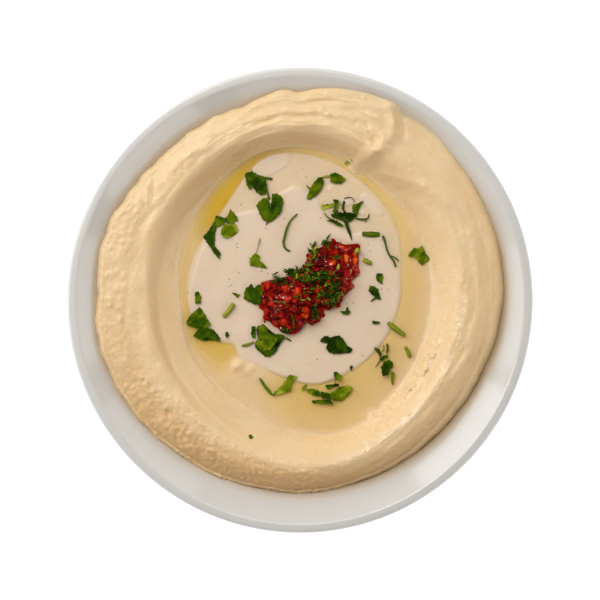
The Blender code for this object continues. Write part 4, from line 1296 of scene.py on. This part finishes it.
def leafShell(outline, curl, base, rng):
    # a closed thin leaf: from its middle out to the outline in rows, back underneath to the middle; the
    # height is the ground, plus curl * (distance from the curl's axis / reach)^2, plus a few shallow waves
    # and a groove along the midrib; run and rib are the distances along and across the midrib
    rim, centre = leafRim(outline, rng)
    columns = len(rim)
    share = np.linspace(0, 1, parsley["leafRows"] + 1)[1:, None, None]
    flat = centre + share * (rim - centre)
    values, axes = np.linalg.eigh(np.cov((rim - centre).T))
    axis = axes[:, 1] * rng.choice([-1, 1])
    reach = math.sqrt(2 * values[1])
    local = flat - centre
    run = local @ axis
    rib = local @ np.array([-axis[1], axis[0]])
    lean = rng.uniform(-0.35, 0.35)
    bend = axis if rng.uniform() < 0.35 else np.array([-axis[1], axis[0]])
    fromBend = (local @ bend) / reach + lean
    x, y = flat[..., 0], flat[..., 1]
    phase = rng.uniform(0, 6.28, 4)
    waves = 0.30 * np.sin(x * 1.9 + phase[0]) * np.sin(y * 1.7 + phase[1])
    waves = waves + 0.20 * np.sin(x * 1.1 - y * 1.4 + phase[2])
    groove = -0.16 * bell(rib, 0.35) * smooth((reach - np.abs(run)) / 1.0)
    rise = curl * fromBend ** 2 + 0.4 * waves + groove
    level = groundAt(x, y)
    level = 0.5 * level + 0.5 * np.maximum(level, level.mean())
    top = level + base + rise - min(0.0, float(rise.min())) + parsley["thickness"]
    thin = parsley["thickness"] * (1 - 0.6 * share[..., 0] ** 4)
    rows = np.concatenate([np.stack([x, y, top], -1), np.stack([x, y, top - thin], -1)[::-1]])
    middle = top[0].mean()
    poles = [[*centre, middle], [*centre, middle - parsley["thickness"]]]
    run, rib = [np.append(np.concatenate([part, part[::-1]]).ravel(), [0.0, 0.0]) for part in (run, rib)]
    return (np.concatenate([rows.reshape(-1, 3), poles]), shellFaces(len(rows), columns)), run, rib


def stemShell(path, halves, flat, rng):
    # a tube along a smooth path: an ellipse across it, half as wide as halves say and flat times as thick;
    # edge is 1 at its sides and 0 on top, and the stem's finish uses it to darken the sides as painted shade
    path = np.array(path)
    stops = np.concatenate([[0], np.cumsum(np.hypot(*np.diff(path, axis=0).T))])
    length = stops[-1]
    rows = max(8, int(length / parsley["stemStep"]))
    place = np.linspace(0, length, rows)
    x, y = [openCurve(place, np.column_stack([stops, path[:, axis]])) for axis in (0, 1)]
    way = np.stack([np.gradient(x), np.gradient(y)], -1)
    way = way / np.hypot(*way.T)[:, None]
    side = np.stack([way[:, 1], -way[:, 0]], -1)
    part = place / length
    uneven = 1 + 0.06 * np.sin(part * 9 + rng.uniform(0, 6))
    half = openCurve(part, list(zip((0.0, 0.5, 1.0), halves))) * uneven
    half = half * np.minimum(1, 0.55 + np.minimum(part, 1 - part) * length / 0.45)      # narrow at both ends
    columns = parsley["stemColumns"]
    angle = np.radians(np.linspace(0, 360, columns, endpoint=False))[None, :]
    thick = half * flat
    level = groundAt(x, y)
    level = np.maximum(level, 0.5 * (level + level.mean()))
    middle = level + parsley["stemClear"] + thick + parsley["stemArch"] * np.sin(np.pi * part)
    across = half[:, None] * np.cos(angle)
    points = np.stack([x[:, None] + side[:, :1] * across, y[:, None] + side[:, 1:] * across,
                       middle[:, None] + thick[:, None] * np.sin(angle)], -1)
    poles = [[x[0], y[0], middle[0]], [x[-1], y[-1], middle[-1]]]
    edge = np.append(np.abs(np.cos(angle)) + 0 * half[:, None], [0.0, 0.0])
    return (np.concatenate([points.reshape(-1, 3), poles]), shellFaces(rows, columns, flip=True)), edge


def makeLeaves(rng):
    # one shell per leaf; a leaf that lies over others starts higher
    shells, tones, runs, ribs, placed = [], [], [], [], []
    for tone, curl, outline in leaves:
        outline = np.array(outline) * dish["spread"]
        middle = np.mean(outline, axis=0)
        near = sum(1 for spot in placed if np.hypot(*(middle - spot)) < 4.5)
        placed.append(middle)
        shell, run, rib = leafShell(outline, curl, parsley["clear"] + parsley["over"] * near, rng)
        shells.append(shell)
        tones.append(np.full(len(run), tone + 0.06 + rng.uniform(-0.04, 0.04)))
        runs.append(run)
        ribs.append(rib)
    points, faces = joinShells(shells)
    attributes = {"tone": np.concatenate(tones), "run": np.concatenate(runs), "rib": np.concatenate(ribs)}
    piece = makeObject("parsley_leaves", points, faces, "parsley", attributes)
    piece.data.materials.append(leafFinish())


def makeStems(rng):
    # one tube per strip; wide green ones are flat, pale and thin ones nearly round
    shells, tones, edges = [], [], []
    for tone, halves, path in strips:
        flat = parsley["roundStem"] if tone > 0.7 or max(halves) < 0.55 else parsley["flatStem"]
        shell, edge = stemShell(np.array(path) * dish["spread"], halves, flat, rng)
        shells.append(shell)
        tones.append(np.full(len(edge), tone))
        edges.append(edge)
    points, faces = joinShells(shells)
    attributes = {"tone": np.concatenate(tones), "edge": np.concatenate(edges)}
    piece = makeObject("parsley_stems", points, faces, "parsley", attributes)
    piece.data.materials.append(stemFinish())


def makeParsley():
    rng = np.random.default_rng(parsley["seed"])
    makeLeaves(rng)
    makeStems(rng)


def leafColour(finish, tone):
    # the tone runs from dry brown below 0, over dark, mid and light green, to pale yellow-green at 1
    stops = [(0.0, "dry"), (0.16, "dry"), (0.20, "dark"), (0.50, "green"), (0.76, "light"), (1.0, "pale")]
    return finish.ramp(tone * 0.8 + 0.2, [(place, parsley[key]) for place, key in stops])


def leafFinish():
    # a midrib along the leaf and branches that slant away from it, on clouded, folded green; the folds are
    # painted lighter where raised and darker in their creases, painted highlight and shade
    finish = Finish("parsley_leaf", {"IOR": 1.45, "Specular IOR Level": 0.03, "Subsurface Weight": 0.08,
                                     "Subsurface Radius": (0.4, 1.0, 0.2), "Subsurface Scale": 0.0008})
    run = finish.attribute("run")
    away = finish.absolute(finish.attribute("rib"))
    cloud = finish.noise(380.0, 3.0, 0.6)
    fine = finish.noise(1500.0)
    foldsAndPaintedShade = finish.noise(230.0, 1.0)
    slant = finish.add("Math", {"operation": "FRACT"}, {0: (run - away * 0.8 + cloud * 0.5) / 1.7})
    branch = 1 - finish.mask(finish.absolute(slant - 0.5), 0.03, 0.12)
    midrib = 1 - finish.mask(away, 0.05, 0.30)
    vein = finish.larger(branch * 0.5, midrib * 0.7)
    # the tone is lighter on the raised folds and darker in their creases: painted highlight and shade
    tone = finish.attribute("tone") + (cloud - 0.5) * 0.55 + finish.mask(foldsAndPaintedShade, 0.36, 0.64) * 0.36 - 0.20
    finish.set("Base Color", leafColour(finish, finish.larger(tone + vein * 0.07, 0.02)))
    finish.set("Roughness", 0.30 + 0.25 * cloud)
    finish.set("Normal", finish.bump(cloud * 0.8 + foldsAndPaintedShade * 1.6 + fine * 0.15 - vein * 0.4, 0.40, 0.9))
    return finish.material


def stemFinish():
    finish = Finish("parsley_stem", {"IOR": 1.45, "Specular IOR Level": 0.12})
    cloud = finish.noise(500.0)
    fine = finish.noise(1700.0)
    # the sides of the stem are painted darker: painted shade where the round stem turns from the light
    rim = finish.mask(finish.attribute("edge"), 0.55, 0.95)
    tone = finish.attribute("tone") + (cloud - 0.5) * 0.3 - rim * 0.22
    finish.set("Base Color", leafColour(finish, tone))
    finish.set("Roughness", 0.30 + 0.2 * cloud)
    finish.set("Normal", finish.bump(cloud + fine * 0.3, 0.15, 0.5))
    return finish.material


# finely chopped parsley on the paste

chopped = {
    # patches: (x, y), half length, half width, lean in degrees, how many, tone
    "patches": [((-2.4, 11.4), 4.4, 3.0, -10, 75, 0.30), ((4.6, 9.6), 5.0, 3.4, -10, 105, 0.24),
                ((2.6, 13.4), 3.4, 2.4, 50, 40, 0.36), ((5.9, 21.0), 2.3, 3.4, 0, 42, 0.34),
                ((11.2, 24.6), 1.5, 1.8, 0, 12, 0.30), ((10.0, 10.4), 4.2, 2.8, 30, 52, 0.36),
                ((14.2, 7.6), 4.2, 3.4, -40, 84, 0.28), ((14.2, 0.6), 4.2, 3.0, 60, 90, 0.48),
                ((11.0, 1.5), 3.4, 1.4, -45, 20, 0.25), ((-10.4, 9.2), 2.6, 1.2, -60, 16, 0.20),
                ((-7.6, 8.4), 2.0, 1.6, 0, 16, 0.28), ((6.4, -4.8), 2.6, 1.8, 80, 24, 0.22),
                ((15.8, 18.5), 1.6, 1.0, 0, 8, 0.55), ((10.4, 18.7), 0.9, 0.8, 0, 5, 0.30),
                ((-5.8, -13.0), 2.4, 1.0, 0, 8, 0.20), ((2.0, 3.0), 16.0, 9.0, 40, 34, 0.45)],
    "share": 0.75, "shortest": 0.4, "longest": 1.9, "thickness": 0.15,
    "rows": 7, "columns": 6, "seed": 71,
}


def choppedSpots(rng):
    # places scattered by a bell curve over each patch, kept inside it, and a tone for each
    spots, tones = [], []
    for (cx, cy), halfLength, halfWidth, lean, count, tone in chopped["patches"]:
        count = int(chopped["share"] * count)
        away = rng.normal(0, 0.5, (count, 2)).clip(-1, 1) * (halfLength, halfWidth)
        along, across = away.T
        c, s = math.cos(math.radians(lean)), math.sin(math.radians(lean))
        spots.append(np.column_stack([cx + along * c - across * s, cy + along * s + across * c]))
        tones.append(np.clip(tone - 0.02 + rng.normal(0, 0.32, count), 0.0, 0.95))
    return np.concatenate(spots), np.concatenate(tones)


def makeChopped():
    # each bit is a curved strip: an ellipse carried along an arc, narrowing to both ends
    rng = np.random.default_rng(chopped["seed"])
    spots, tones = choppedSpots(rng)
    count = len(spots)
    rows, columns = chopped["rows"], chopped["columns"]
    along = np.linspace(-1, 1, rows)[None, :, None]
    angle = np.radians(np.linspace(0, 360, columns, endpoint=False))[None, None, :]
    length = rng.uniform(chopped["shortest"], chopped["longest"], count)[:, None, None]
    width = (0.22 + 0.75 * rng.beta(1.2, 1.9, count))[:, None, None] * (1 - 0.75 * along ** 2)
    bow = rng.normal(0, 0.5, count)[:, None, None]
    arch = rng.normal(0.1, 0.45, count)[:, None, None]
    x = length * along + 0 * angle
    y = width * np.cos(angle) + bow * length * along ** 2
    z = chopped["thickness"] * np.sin(angle) + arch * length * (1 - along ** 2)
    ends = np.stack([length[:, 0] * np.array([[-1, 1]]), bow[:, 0] * length[:, 0] * np.array([[1, 1]]),
                     np.zeros((count, 2))], -1)
    local = np.concatenate([np.stack([x, y, z], -1).reshape(count, -1, 3), ends], axis=1)
    yaw = rng.uniform(0, 2 * np.pi, count)
    frames = turnedFrames(yaw, rng.normal(0, 0.75, count), rng.normal(0, 0.4, count))
    ground = groundAt(spots[:, 0], spots[:, 1]) + 0.45 + rng.uniform(0, 1.3, count)
    points = np.einsum("nij,nkj->nki", frames, local) + np.column_stack([spots, ground])[:, None, :]
    points[..., 2] = np.maximum(points[..., 2], dish["oilLevel"] + 0.1)
    faces = repeatShell(count, rows, columns, flip=True)
    attributes = {"tone": np.repeat(tones, points.shape[1])}
    piece = makeObject("chopped_parsley", points.reshape(-1, 3), faces, "parsley", attributes)
    piece.data.materials.append(choppedFinish())


def choppedFinish():
    finish = Finish("chopped_parsley", {"IOR": 1.47, "Specular IOR Level": 0.08})
    cloud = finish.noise(700.0)
    tone = finish.larger(finish.attribute("tone") + (cloud - 0.5) * 0.5, 0.02)
    finish.set("Base Color", leafColour(finish, tone))
    finish.set("Roughness", 0.18 + 0.25 * cloud)
    finish.set("Normal", finish.bump(cloud, 0.15, 0.5))
    return finish.material


stages = {"camera": makeCamera, "light and table": makeLight, "bowl": makeBowl, "hummus": makeHummus,
          "oil": makeOil, "tahini": makeTahini, "pepper sauce": makeSauce, "pepper bits": makeBits,
          "parsley": makeParsley, "chopped parsley": makeChopped}
for stage, make in stages.items():
    make()
    print(stage)
